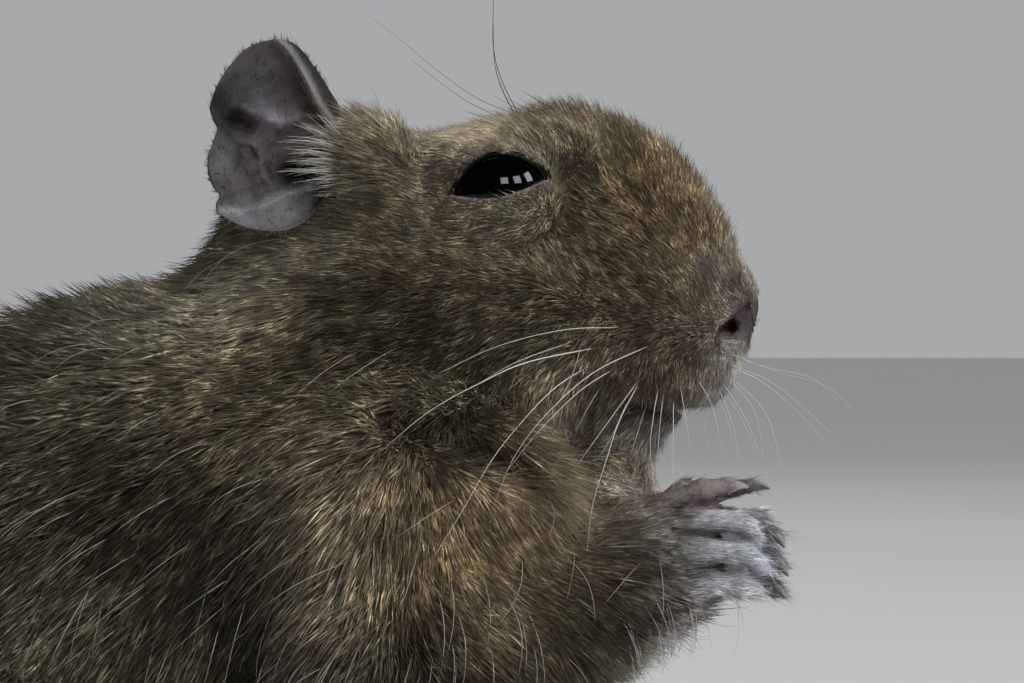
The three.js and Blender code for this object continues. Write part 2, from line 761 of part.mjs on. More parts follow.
// The middle of the tail from inside the rump to the end of the bone, where it lies on the floor
// save for the lift that each point adds.
const tailPath = [
  { at: [-80, 0], lift: 10 },
  { at: [-96, 0.4], lift: 3 },
  { at: [-112, 2], lift: 0 },
  { at: [-128, 5.5], lift: 0 },
  { at: [-142, 10.5], lift: 0 },
  { at: [-155, 17], lift: 0 },
  { at: [-166, 24.5], lift: 0 },
];
const tailRadius = (t) => THREE.MathUtils.lerp(5.6, 2.4, Math.min(1, 1.35 * t));
const tailCuts = [0.42, 0.7]; // shares of the tail's length where it is parted
const tailSpine = new THREE.CatmullRomCurve3(
  tailPath.map(({ at, lift }, i) => {
    const radius = tailRadius(i / (tailPath.length - 1));
    return new THREE.Vector3(...at, radius + lift - pressed);
  }),
);

function tailStretch(start, stop, grown, around, rings) {
  const share = (t) => THREE.MathUtils.lerp(start, stop, t);
  const stretch = {
    getPointAt: (t) => tailSpine.getPointAt(share(t)),
    getTangentAt: (t) => tailSpine.getTangentAt(share(t)),
  };
  const radius = (t) => tailRadius(share(t)) + grown;
  return loft(stretch, radius, radius, { around, rings });
}

function makeTail() {
  const trim = gap / 2 / tailSpine.getLength();
  const ends = [0, ...tailCuts, 1];
  const pieces = ends.slice(1).map((end, i) =>
    tailStretch(ends[i] + (i ? trim : 2 * trim), end - (end < 1 ? trim : 0), 0, 10, 5),
  );
  return { pieces, socket: tailStretch(0, tailCuts[0], gap, 10, 5) };
}

// The brush of stiff black hair over the tail's last third: flat locks that taper, lie back along
// the tail and overlap, longest at the very tip.
function brushLocks() {
  const locks = [];
  const rows = 5;
  for (let row = 0; row < rows; row++) {
    const share = THREE.MathUtils.lerp(0.735, 0.985, row / (rows - 1));
    const centre = tailSpine.getPointAt(share);
    const forward = tailSpine.getTangentAt(share);
    const aside = new THREE.Vector3().crossVectors(forward, new THREE.Vector3(0, 0, 1)).normalize();
    const over = new THREE.Vector3().crossVectors(aside, forward);
    const count = row % 2 ? 4 : 5;
    for (let i = 0; i < count; i++) {
      const angle = radians(90 + 52 * (i - (count - 1) / 2));
      const outward = aside.clone().multiplyScalar(Math.cos(angle)).addScaledVector(over, Math.sin(angle));
      const length = 8.5 + 0.5 * row + 1.1 * Math.sin(2.4 * i + 1.7 * row);
      const lift = 1.5 + 0.5 * Math.sin(1.3 * i + row);
      const root = centre.clone().addScaledVector(outward, tailRadius(share) - 1.1);
      const path = [0, 0.45, 1].map((t) =>
        root
          .clone()
          .addScaledVector(forward, length * t)
          .addScaledVector(outward, lift * t * (2 - t))
          .toArray(),
      );
      const thick = (t) => 0.7 * (1 - t) + 0.18;
      const broad = (t) => 1.4 * (1 - t ** 1.8) + 0.18;
      locks.push(loft(path, broad, thick, { around: 4, rings: 2, up: outward.toArray() }));
    }
  }
  return locks;
}

// The animal

const skinColours = {
  coat: 0x6b5f48,
  paw: 0x9a9694,
  ear: 0x6f6a6c,
  eye: 0x0a0807,
  claw: 0x3a322c,
  brush: 0x1c1814,
};

const materials = {
  coat: new THREE.MeshStandardMaterial({ color: skinColours.coat, roughness: 0.9, metalness: 0 }),
  paw: new THREE.MeshStandardMaterial({ color: skinColours.paw, roughness: 0.8, metalness: 0 }),
  ear: new THREE.MeshStandardMaterial({ color: skinColours.ear, roughness: 0.7, metalness: 0 }),
  eye: new THREE.MeshStandardMaterial({ color: skinColours.eye, roughness: 0.05, metalness: 0 }),
  claw: new THREE.MeshStandardMaterial({ color: skinColours.claw, roughness: 0.4, metalness: 0 }),
  brush: new THREE.MeshStandardMaterial({ color: skinColours.brush, roughness: 0.9, metalness: 0 }),
};

const degu = new THREE.Group();
degu.position.x = -middleOfLength;

function place(name, made, material) {
  const from = made.getMesh();
  const geometry = new THREE.BufferGeometry();
  const positions = new Float32Array(from.numVert * 3);
  for (let i = 0; i < from.numVert; i++)
    positions.set(from.vertProperties.subarray(i * from.numProp, i * from.numProp + 3), i * 3);
  geometry.setAttribute("position", new THREE.BufferAttribute(positions, 3));
  geometry.setIndex(new THREE.BufferAttribute(new Uint32Array(from.triVerts), 1));
  geometry.computeVertexNormals();
  const mesh = new THREE.Mesh(geometry, materials[material]);
  mesh.name = name;
  degu.add(mesh);
}

let head = makeHead();

const fleshByEars = polygonise(swollen(trunkField, gap), [-28, -20, 76], [-6, 20, 99], headCell);
for (const [name, side] of Object.entries(sides)) {
  place(`ear_${name}`, makeEar(side, fleshByEars), "ear");
  place(`eye_${name}`, ball(across(eyeCentre, side), eyeRadius, 3), "eye");
}

const tail = makeTail();
const neckSide = beyond(torsoPlane, neckNormal, -gap / 2);
let torso = polygonise(bodyField, [-104, -46, -6], [14, 46, 92], torsoCell)
  .intersect(aboveFloor)
  .subtract(neckSide)
  .subtract(tail.socket);
let neck = polygonise(bodyField, [-46, -28, 40], [14, 28, 92], neckCell)
  .subtract(beyond(headPlane, neckNormal, -gap / 2))
  .intersect(beyond(torsoPlane, neckNormal, gap / 2));
for (const [name, side] of Object.entries(sides)) {
  const arm = makeArm(side);
  torso = torso.subtract(arm.socket);
  neck = neck.subtract(arm.socket);
  head = head.subtract(arm.socket);
  place(`upper_arm_${name}`, arm.upper, "coat");
  place(`forearm_${name}`, arm.fore, "coat");
  const { paw, claws } = makeForepaw(side);
  place(`forepaw_${name}`, paw, "paw");
  claws.forEach((one, i) => place(`claw_fore_${name}_${i + 1}`, one, "claw"));

  const { foot, claws: toeClaws, socket: footSocket } = makeHindFoot(side);
  const { thigh, shank, socket } = makeLeg(side, footSocket);
  torso = torso.subtract(socket).subtract(footSocket);
  place(`thigh_${name}`, thigh, "coat");
  place(`shank_${name}`, shank, "coat");
  place(`hind_foot_${name}`, foot, "paw");
  toeClaws.forEach((one, i) => place(`claw_hind_${name}_${i + 1}`, one, "claw"));
}
place("head", largest(head), "coat");
place("neck", largest(neck), "coat");
place("torso", largest(torso), "coat");

const [tailRoot, tailMiddle, tailTip] = tail.pieces;
place("tail_root", largest(tailRoot.intersect(aboveFloor)), "coat");
place("tail_middle", largest(tailMiddle.intersect(aboveFloor)), "coat");
const brush = union([tailTip, ...brushLocks()]).intersect(aboveFloor);
place("tail_brush", largest(brush), "brush");

export default degu;
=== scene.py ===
"""A life-size degu that sits up with its forepaws at its mouth: skin, coat, ears, eyes, claws, whiskers."""

import json
import math
from itertools import product

import bmesh
import bpy
import numpy as np
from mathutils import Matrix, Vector

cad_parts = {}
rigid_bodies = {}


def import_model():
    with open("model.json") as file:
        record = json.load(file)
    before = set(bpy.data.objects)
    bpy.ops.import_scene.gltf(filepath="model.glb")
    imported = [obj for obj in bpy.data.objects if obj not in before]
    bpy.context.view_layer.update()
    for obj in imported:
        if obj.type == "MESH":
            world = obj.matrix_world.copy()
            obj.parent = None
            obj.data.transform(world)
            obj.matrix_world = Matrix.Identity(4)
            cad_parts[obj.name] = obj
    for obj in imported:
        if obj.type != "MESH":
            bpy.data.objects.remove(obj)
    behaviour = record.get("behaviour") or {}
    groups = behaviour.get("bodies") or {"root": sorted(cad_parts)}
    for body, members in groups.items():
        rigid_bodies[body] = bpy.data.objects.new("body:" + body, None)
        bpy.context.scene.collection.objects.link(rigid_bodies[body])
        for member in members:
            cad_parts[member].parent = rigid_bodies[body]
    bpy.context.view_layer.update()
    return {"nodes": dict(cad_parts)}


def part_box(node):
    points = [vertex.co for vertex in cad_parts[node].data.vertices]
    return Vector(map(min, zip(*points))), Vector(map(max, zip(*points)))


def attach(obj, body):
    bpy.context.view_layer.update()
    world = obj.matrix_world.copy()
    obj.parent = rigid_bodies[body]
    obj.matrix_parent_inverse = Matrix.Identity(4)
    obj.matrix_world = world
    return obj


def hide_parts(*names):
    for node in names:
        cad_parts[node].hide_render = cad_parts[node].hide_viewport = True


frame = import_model()

bl_info = {
    "name": "Degu",
    "version": (1, 0, 0),
    "blender": (4, 5, 0),
    "location": "3D View > Sidebar > Degu",
    "description": "Skin, coat, ears, eyes, claws and whiskers of a life-size degu on its frame",
    "category": "Add Mesh",
}

MM = 0.001
SIDES = {"left": 1, "right": -1}

# Driving sizes in millimetres, the same as those of the solids. The nose points along +X, the
# animal's left is +Y, and x is counted from the middle of the camera's view.
EYE = (-1.5, 8.0, 87.0)
EYE_RADIUS = 4.7
GAZE = {"out": (0.2, 0.94, 0.26), "tilt": 12.5}
OPENING = {"length": 8.8, "above": 2.42, "below": 1.45}
EAR_PLACE = (-20.4, 13.2, 91.6)
SHOULDER = (-10.0, 15.0, 58.4)
ELBOW = (-9.0, 19.5, 44.0)
WRIST = (12.6, 7.8, 55.0)
HAND_REACH = {"left": (2.4, 0.0, -0.4), "right": (0.0, 0.0, 0.0)}
HEEL = (-43.0, 24.5, 4.7)
FOOT_LENGTH = 38.0
TOES_OUT = 7.0
HEAD_PLANE = {"at": (-24.6, 0.0, 82.6), "normal": (0.549, 0.0, 0.836)}
SHIFT = 500 * (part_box("eye_right")[0][0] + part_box("eye_right")[1][0]) - EYE[0]

# Forms of the flesh. "coat" is how far the skin lies inside the tips of the hair.
HEAD = [
    dict(at=(-9.5, 0, 81.9), radii=(16, 11.5, 11.8), coat=1.7),
    dict(at=(5.9, 0, 81.9), radii=(14.7, 7.6, 12.4), pitch=-33, coat=1.1),
    dict(at=(13.3, 0, 77), radii=(5.3, 5, 7), pitch=-24, coat=0.7),
    dict(at=(18.6, 0, 77.4), radii=(2.7, 3, 2.6), coat=0.05),
    dict(at=(16, 0, 72.2), radii=(3, 3.4, 3.6), pitch=-24, coat=0.35),
    dict(at=(5, 0, 66.6), radii=(8.2, 4.2, 4), pitch=4, coat=0.7),
    dict(at=(-3, 0, 64.5), radii=(13, 9, 8.5), coat=1.8),
]
HEAD_PAIRS = [
    dict(at=(10.8, 4.4, 74.2), radii=(8.2, 4.6, 6), pitch=-14, coat=0.8),
    dict(at=(-4.5, 7.6, 76.4), radii=(13.5, 7.6, 9.6), pitch=-10, coat=1.6),
    dict(at=(-14, 7, 74.5), radii=(11, 9, 10.5), coat=2.0),
    dict(at=(0.5, 6.6, 91), radii=(7, 3.2, 2.6), pitch=4, coat=0.8),
    dict(at=(-13, 8.4, 89.8), radii=(4.6, 3.4, 4.6), pitch=10, coat=1.0),
]
NECK = [dict(start=(-14, 0, 73.5), end=(-31, 0, 60.5), radii=(12.2, 16.7), coat=(2.4, 2.8))]
TORSO = [
    dict(at=(-35.5, 0, 64.4), radii=(12.5, 12, 13.1), pitch=25, coat=2.8),
    dict(at=(-38, 0, 53), radii=(21, 21, 21), coat=2.8),
    dict(at=(-54, 0, 43), radii=(25, 28, 26), coat=3.0),
    dict(at=(-69, 0, 28.2), radii=(26, 31, 29), coat=3.0),
    dict(at=(-38, 0, 24), radii=(27, 27, 23), coat=2.8),
    dict(at=(-12, 0, 50), radii=(15, 13, 13), coat=2.6),
    dict(at=(3.2, 0, 59), radii=(7.4, 5.4, 4.6), coat=1.5),
]
TORSO_PAIRS = [
    dict(at=(-26, 11, 57), radii=(14, 11, 15), coat=2.8),
    dict(at=(-3, 14, 62), radii=(7, 6.5, 6.5), coat=2.2),
]
THIGHS = [
    dict(at=(-55, 22, 26), radii=(27, 14, 23), pitch=6, coat=2.6),
    dict(at=(-30, 26, 23), radii=(12.5, 9.5, 14), coat=2.2),
]
SHANKS = [dict(start=(-29, 27.5, 16), end=(-41, 25.5, 7), radii=(8.5, 6.2), coat=(1.6, 1.2))]
ARM_RADII = {"shoulder": 11.5, "elbow": 9.6, "wrist": 4.9}
ARM_COATS = {"shoulder": 2.6, "elbow": 2.2, "wrist": 0.8}
PALM = dict(at=(14.2, 6.2, 56), radii=(4.4, 2.9, 4.9), pitch=20, coat=0.25)
FINGERS = [
    dict(knuckle=(13.4, 7.2, 60), bend=(16.4, 7, 61.6), tip=(18.8, 5.8, 61.9)),
    dict(knuckle=(15.4, 8.4, 59), bend=(19.6, 8.2, 58.8), tip=(21, 5, 57.6)),
    dict(knuckle=(15.4, 8.8, 56.6), bend=(20, 8.9, 56.2), tip=(21.4, 5.4, 55)),
    dict(knuckle=(14.8, 8.4, 54), bend=(19.4, 8.5, 53.4), tip=(21, 5, 52.8)),
]
FINGER_RADII = (1.42, 1.32, 1.16, 0.92)
THUMB = [(13.2, 5, 59), (14.6, 3.6, 61), (15.4, 2.6, 61.8)]
TOES = [
    dict(across=-3.5, start=0.6, length=7.4, spread=-9),
    dict(across=-1.9, start=0.7, length=9.6, spread=-4),
    dict(across=0, start=0.72, length=10.2, spread=0),
    dict(across=1.9, start=0.7, length=9.4, spread=5),
    dict(across=3.5, start=0.58, length=7, spread=11),
]
TAIL = [
    ((-80, 0), 10),
    ((-96, 0.4), 3),
    ((-112, 2), 0),
    ((-128, 5.5), 0),
    ((-142, 10.5), 0),
    ((-155, 17), 0),
    ((-166, 24.5), 0),
]
TAIL_COAT = 0.9


def srgb(red, green, blue):
    """A colour given as 0 to 255 on screen, as linear light."""
    shares = [value / 255 for value in (red, green, blue)]
    return tuple(s / 12.92 if s <= 0.04045 else ((s + 0.055) / 1.055) ** 2.4 for s in shares)


def mirrored(form):
    """The same form on the other side of the body."""
    other = dict(form)
    for key in ("at", "start", "end"):
        if key in form:
            x, y, z = form[key]
            other[key] = (x, -y, z)
    return other


def both(forms):
    return forms + [mirrored(form) for form in forms]


def across(point, side):
    return np.array((point[0], point[1] * side, point[2]), float)


def unit(vector):
    vector = np.asarray(vector, float)
    return vector / np.linalg.norm(vector, axis=-1, keepdims=True)


def smoothstep(low, high, value):
    share = np.clip((value - low) / (high - low), 0, 1)
    return share * share * (3 - 2 * share)


# Fields, which are negative inside a form and grow about as the distance from it


def ellipsoid(points, form):
    tilt, turn = -math.radians(form.get("pitch", 0)), math.radians(form.get("yaw", 0))
    about_y = np.array([[math.cos(tilt), 0, math.sin(tilt)], [0, 1, 0], [-math.sin(tilt), 0, math.cos(tilt)]])
    about_z = np.array([[math.cos(turn), -math.sin(turn), 0], [math.sin(turn), math.cos(turn), 0], [0, 0, 1]])
    radii = np.array(form["radii"], float) - form.get("coat", 0)
    local = (points - np.array(form["at"], float)) @ (about_z @ about_y)
    near = np.linalg.norm(local / radii, axis=1)
    slope = np.linalg.norm(local / radii**2, axis=1)
    return near * (near - 1) / np.maximum(slope, 1e-9)


def cone(points, form):
    start, end = np.array(form["start"], float), np.array(form["end"], float)
    first, last = np.array(form["radii"], float) - form.get("coat", 0)
    axis = end - start
    long2 = axis @ axis
    drop = first - last
    lean = long2 - drop * drop
    local = points - start
    along = local @ axis
    past = along - long2
    side2 = ((local * long2 - along[:, None] * axis) ** 2).sum(1)
    along2, past2 = along**2 * long2, past**2 * long2
    k = np.sign(drop) * drop * drop * side2
    beyond = np.sqrt(side2 + past2) / long2 - last
    before = np.sqrt(side2 + along2) / long2 - first
    beside = (np.sqrt(side2 * lean / long2) + along * drop) / long2 - first
    value = np.where(np.sign(along) * lean * along2 < k, before, beside)
    return np.where(np.sign(past) * lean * past2 > k, beyond, value)


def ball(points, at, radius):
    return np.linalg.norm(points - np.asarray(at, float), axis=1) - radius


def melt(a, b, softness):
    """The union of two fields, with a fillet."""
    reach = np.maximum(softness - np.abs(a - b), 0)
    return np.minimum(a, b) - reach * reach / (4 * softness)


def carve(a, b, softness):
    """Field a without field b, with a rounded edge."""
    return -melt(-a, b, softness)


def reach_of(form):
    """The lowest and highest corner of a form."""
    if "at" in form:
        return np.array(form["at"]) - max(form["radii"]), np.array(form["at"]) + max(form["radii"])
    ends = np.array([form["start"], form["end"]], float)
    return ends.min(0) - max(form["radii"]), ends.max(0) + max(form["radii"])


FAR = 40.0


def melted(points, forms, softness, margin=14.0):
    """All the forms as one field, worked out only for the points near them."""
    boxes = [reach_of(form) for form in forms]
    low = np.min([box[0] for box in boxes], axis=0) - margin
    high = np.max([box[1] for box in boxes], axis=0) + margin
    out = np.full(len(points), FAR)
    near = np.all((points > low) & (points < high), axis=1)
    if not near.any():
        return out
    inner = points[near]
    value = np.full(len(inner), FAR)
    for form in forms:
        value = melt(value, (cone if "start" in form else ellipsoid)(inner, form), softness)
    out[near] = value
    return out


def turned_out(point):
    """A point of the left foot, given along, across and up from the heel."""
    turn = math.radians(TOES_OUT)
    x, y, z = point
    return (
        HEEL[0] + x * math.cos(turn) - y * math.sin(turn),
        HEEL[1] + x * math.sin(turn) + y * math.cos(turn),
        HEEL[2] + z,
    )


def chain(points, radii, coat=0.0):
    """Cones from point to point."""
    pairs = zip(points[:-1], points[1:], radii[:-1], radii[1:])
    return [dict(start=tuple(a), end=tuple(b), radii=(r, s), coat=coat) for a, b, r, s in pairs]


def spline(points, share, closed=False):
    """A point on a smooth curve through the given ones."""
    points = np.asarray(points, float)
    count = len(points)
    spans = count if closed else count - 1
    at = np.clip(share, 0, 1) * spans
    first = np.minimum(np.floor(at).astype(int), spans - 1)
    t = (at - first)[..., None]

    def pick(index):
        if closed:
            return points[index % count]
        low = 2 * points[0] - points[1]
        high = 2 * points[-1] - points[-2]
        padded = np.vstack([low, points, high])
        return padded[index + 1]

    a, b, c, d = (pick(first + step) for step in (-1, 0, 1, 2))
    return 0.5 * (2 * b + (c - a) * t + (2 * a - 5 * b + 4 * c - d) * t**2 + (3 * b - a - 3 * c + d) * t**3)


def tail_radius(share):
    return 5.6 + (2.4 - 5.6) * np.minimum(1, 1.35 * np.asarray(share, float))


def tail_spine():
    last = len(TAIL) - 1
    return [(*at, float(tail_radius(i / last)) + lift - 0.25) for i, (at, lift) in enumerate(TAIL)]


def tail_forms():
    shares = np.linspace(0, 1, 19)
    points = [spline(tail_spine(), share) for share in shares]
    return chain(points, list(tail_radius(shares)), TAIL_COAT)


def foot_forms():
    """The sole of the left hind foot, and its toes apart."""
    sole = [
        dict(at=turned_out((3, 0, 0.1)), radii=(7.6, 4.2, 4.8), yaw=TOES_OUT, coat=0.3),
        dict(at=turned_out((13, 0, -0.7)), radii=(13, 4.7, 4.2), yaw=TOES_OUT, pitch=-3, coat=0.3),
        dict(at=turned_out((24, 0, -1.6)), radii=(9, 5.2, 3.5), yaw=TOES_OUT, pitch=-3, coat=0.25),
    ]
    toes = []
    for toe in TOES:
        root = toe["start"] * FOOT_LENGTH
        slide = math.tan(math.radians(toe["spread"])) * toe["length"]
        low = 1.35 - HEEL[2]
        path = [
            (root - 4, toe["across"] * 0.7, -2.2),
            (root + 0.35 * toe["length"], toe["across"] + 0.35 * slide, low + 1),
            (root + 0.72 * toe["length"], toe["across"] + 0.72 * slide, low + 0.25),
            (root + toe["length"], toe["across"] + slide, low),
        ]
        toes.append(chain([turned_out(p) for p in path], (1.95, 1.8, 1.35, 1.5), 0.12))
    return sole, toes


def hand_forms(side_name):
    """The palm and stub of one forepaw, and its fingers apart."""
    side = SIDES[side_name]
    reach = np.array(HAND_REACH[side_name])
    placed = lambda point: tuple(across(np.array(point) + reach, side))
    palm = [
        dict(PALM, at=placed(PALM["at"])),
        dict(start=placed(WRIST), end=placed((14, 6.6, 56)), radii=(4.2, 3.6), coat=0.5),
        dict(at=placed((12.6, 5.2, 53.2)), radii=(2.4, 2, 2.6), coat=0.2),
    ]
    digits = []
    for finger in FINGERS:
        knuckle = np.array(finger["knuckle"])
        root = knuckle + 0.35 * (np.array(PALM["at"]) - knuckle)
        path = [placed(p) for p in (root, knuckle, finger["bend"], finger["tip"])]
        digits.append(chain(path, FINGER_RADII, 0.28))
    digits.append(chain([placed(p) for p in THUMB], (1.0, 0.9, 0.75), 0.1))
    return palm, digits


def arm_forms(side_name):
    side = SIDES[side_name]
    wrist = across(np.array(WRIST) + HAND_REACH[side_name], side)
    joints = [across(SHOULDER, side), across(ELBOW, side), wrist]
    radii = [ARM_RADII[name] - ARM_COATS[name] for name in ("shoulder", "elbow", "wrist")]
    return chain(joints, radii)


def gaze_axes(side):
    """Forward, up and outward directions of one eye, with the opening's slant in the first two."""
    out = unit(GAZE["out"])
    ahead = unit(np.array((1.0, 0, 0)) - out * out[0])
    up = np.cross(ahead, out)
    up = unit(up if up[2] > 0 else -up)
    tilt = math.radians(GAZE["tilt"])
    slanted = (
        ahead * math.cos(tilt) + up * math.sin(tilt),
        up * math.cos(tilt) - ahead * math.sin(tilt),
        out,
    )
    return [across(axis, side) for axis in slanted]


def in_gaze(points, side):
    """How far each point lies ahead, up and out from the middle of the eye."""
    local = points - across(EYE, side)
    return [local @ axis for axis in gaze_axes(side)]


def lid_edge(share):
    """The upper and lower height of the opening at a share of its length, from its rear corner at -1 to 1."""
    share = np.clip(share, -1, 1)
    upper = OPENING["above"] * (1 - share**2) * (1 - 0.22 * share)
    lower = -OPENING["below"] * (1 - share**2) * (1 - 0.35 * share)
    return upper, lower


HEAD_FORMS = HEAD + both(HEAD_PAIRS)
TRUNK_FORMS = TORSO + both(TORSO_PAIRS)
ARM_FORMS = {name: arm_forms(name) for name in SIDES}
HAND_FORMS = {name: hand_forms(name) for name in SIDES}
SOLE_FORMS, TOE_FORMS = foot_forms()
TAIL_FORMS = tail_forms()
MOUTH_LINE = [(24, 69.4), (18.5, 68.7), (13.5, 68.6), (9.6, 69.5)]
SHOULDER_FOLD = [(-12, 67.8), (-8.6, 67.2), (-5.4, 65.7), (-2.3, 64.4), (0.8, 63.8)]


def near_line(across_points, line):
    """The distance of points in a plane from a line through the given ones."""
    best = np.full(len(across_points), FAR)
    for a, b in zip(line[:-1], line[1:]):
        a, b = np.array(a, float), np.array(b, float)
        share = np.clip((across_points - a) @ (b - a) / ((b - a) @ (b - a)), 0, 1)
        best = np.minimum(best, np.linalg.norm(across_points - a - share[:, None] * (b - a), axis=1))
    return best


def head_details(points, value):
    """Lids, nostrils, the line of the mouth and the cleft of the upper lip."""
    side_view = points[:, [0, 2]]
    for side in SIDES.values():
        value = melt(value, ball(points, across(EYE, side), EYE_RADIUS + 0.6), 2.0)
        ahead, up, out = in_gaze(points, side)
        half = OPENING["length"] / 2
        share = ahead / half
        upper, lower = lid_edge(share)
        fold = np.exp(-(((up - upper * 1.25 - 1.5) / 0.45) ** 2)) * (np.abs(share) < 1.1) * (out > 0)
        value = value + 0.22 * fold
        prism = np.maximum.reduce([up - upper, lower - up, np.abs(ahead) - half, 1.3 - out])
        value = carve(value, prism - 0.1, 0.2)
        wing = dict(at=across((19.2, 2.0, 77.3), side), radii=(1.9, 1.35, 1.5))
        value = melt(value, ellipsoid(points, wing), 1.0)
        hole = dict(
            start=across((18.6, 5.4, 75.0), side), end=across((18.8, 2.0, 75.9), side), radii=(1.2, 0.7)
        )
        slit = dict(
            start=across((19.2, 4.2, 75.9), side), end=across((20.6, 2.7, 77.5), side), radii=(0.55, 0.3)
        )
        value = carve(value, melt(cone(points, hole), cone(points, slit), 0.5), 0.5)
    groove = np.exp(-((near_line(side_view, MOUTH_LINE) / 0.5) ** 2))
    value = value + 0.95 * groove * smoothstep(8.8, 11, points[:, 0])
    cleft = np.exp(-((points[:, 1] / 0.4) ** 2)) * smoothstep(16.5, 18, points[:, 0])
    return value + 0.6 * cleft * smoothstep(68.5, 70, points[:, 2]) * (1 - smoothstep(75, 77, points[:, 2]))


def shoulder_fold(points):
    """1 along the crease where the coat of the neck lies over the top of the arm, and 0 away from it."""
    beside = smoothstep(8.5, 12, np.abs(points[:, 1]))
    beside *= smoothstep(-12, -8.5, points[:, 0]) * (1 - smoothstep(-1.5, 1.5, points[:, 0]))
    return np.exp(-((near_line(points[:, [0, 2]], SHOULDER_FOLD) / 1.25) ** 2)) * beside


def finger_gaps(points, wide=0.7):
    """1 in the creases between the fingers of each forepaw, and 0 away from them."""
    gaps = np.zeros(len(points))
    x, y, z = points.T
    for name, side in SIDES.items():
        near = (y * side > -3) & (x > 13.5) & (x < 20.5) & (z > 48) & (z < 66)
        fingers = [melted(points[near], finger, 0.5, 6) for finger in HAND_FORMS[name][1][: len(FINGERS)]]
        first, second = np.sort(fingers, axis=0)[:2]
        gaps[near] = np.maximum(gaps[near], np.exp(-(((second - first) / wide) ** 2)) * (second < 2.2))
    return gaps


def skin_field(points):
    """Below zero inside the skin."""
    value = melt(melted(points, HEAD_FORMS, 4.5), melted(points, NECK, 1), 9)
    value = melt(value, melted(points, TRUNK_FORMS, 9), 10)
    legs = melt(melted(points, both(THIGHS), 7), melted(points, both(SHANKS), 1), 4)
    value = melt(value, legs, 8)
    for name, side in SIDES.items():
        value = melt(value, melted(points, ARM_FORMS[name], 6), 9)
        palm, digits = HAND_FORMS[name]
        hand = melted(points, palm, 2, 8)
        spread = np.full(len(points), FAR)
        for digit in digits:
            spread = melt(spread, melted(points, digit, 0.5, 6), 0.1)
        value = melt(value, melt(hand, spread, 0.7), 1.6)
        own = SOLE_FORMS if side > 0 else [mirrored(form) for form in SOLE_FORMS]
        foot = melted(points, own, 2.5, 8)
        spread = np.full(len(points), FAR)
        for toe in TOE_FORMS:
            own = toe if side > 0 else [mirrored(form) for form in toe]
            spread = melt(spread, melted(points, own, 0.5, 6), 0.4)
        value = melt(value, melt(foot, spread, 1.6), 2.5)
    value = melt(value, melted(points, TAIL_FORMS, 1), 4)
    near = (np.abs(points[:, 0] + 6) < 14) & (np.abs(points[:, 2] - 66) < 6)
    value[near] += 1.5 * shoulder_fold(points[near])
    face = (points[:, 0] > -12) & (points[:, 2] > 64)
    if face.any():
        value[face] = head_details(points[face], value[face])
    return carve(value, points[:, 2] - 0.04, 0.3)


# The skin as a mesh


def stepped(start, *stretches):
    """Grid places from a start through stretches given as (end, step)."""
    places = [start]
    for end, step in stretches:
        count = max(1, round((end - places[-1]) / step))
        places.extend(np.linspace(places[-1], end, count + 1)[1:])
    return np.array(places)


HALF_Y = stepped(0, (10, 0.44), (14, 0.54), (30, 0.8), (40, 1.0))
GRID = (
    stepped(-173, (-95, 0.9), (-46, 1.3), (-30, 1.0), (8, 0.58), (27, 0.37)),
    np.concatenate([-HALF_Y[:0:-1], HALF_Y]),
    stepped(-1.2, (11, 0.65), (46, 1.1), (52, 0.6), (63, 0.36), (92, 0.56), (101, 0.75)),
)
BLOCK = 4


def sampled(field, grid):
    """The field over a grid, worked out in full only in the blocks that the surface may cross."""
    shape = [len(axis) for axis in grid]
    blocks = [np.minimum(np.arange(0, n, BLOCK) + BLOCK // 2, n - 1) for n in shape]
    lattice = np.meshgrid(*[axis[b] for axis, b in zip(grid, blocks)], indexing="ij")
    middles = np.stack(lattice, -1).reshape(-1, 3)
    coarse = field(middles).reshape([len(b) for b in blocks])
    widths = [np.gradient(axis)[b] * BLOCK for axis, b in zip(grid, blocks)]
    reach = 0.6 + 0.6 * np.sqrt(sum(w**2 for w in np.meshgrid(*widths, indexing="ij")))
    owner = np.ix_(*[np.minimum(np.arange(n) // BLOCK, len(b) - 1) for n, b in zip(shape, blocks)])
    value = coarse[owner].copy()
    active = np.argwhere((np.abs(coarse) < reach)[owner])
    places = np.stack([axis[active[:, i]] for i, axis in enumerate(grid)], -1)
    for start in range(0, len(active), 200000):
        part = slice(start, start + 200000)
        value[tuple(active[part].T)] = field(places[part])
    return value


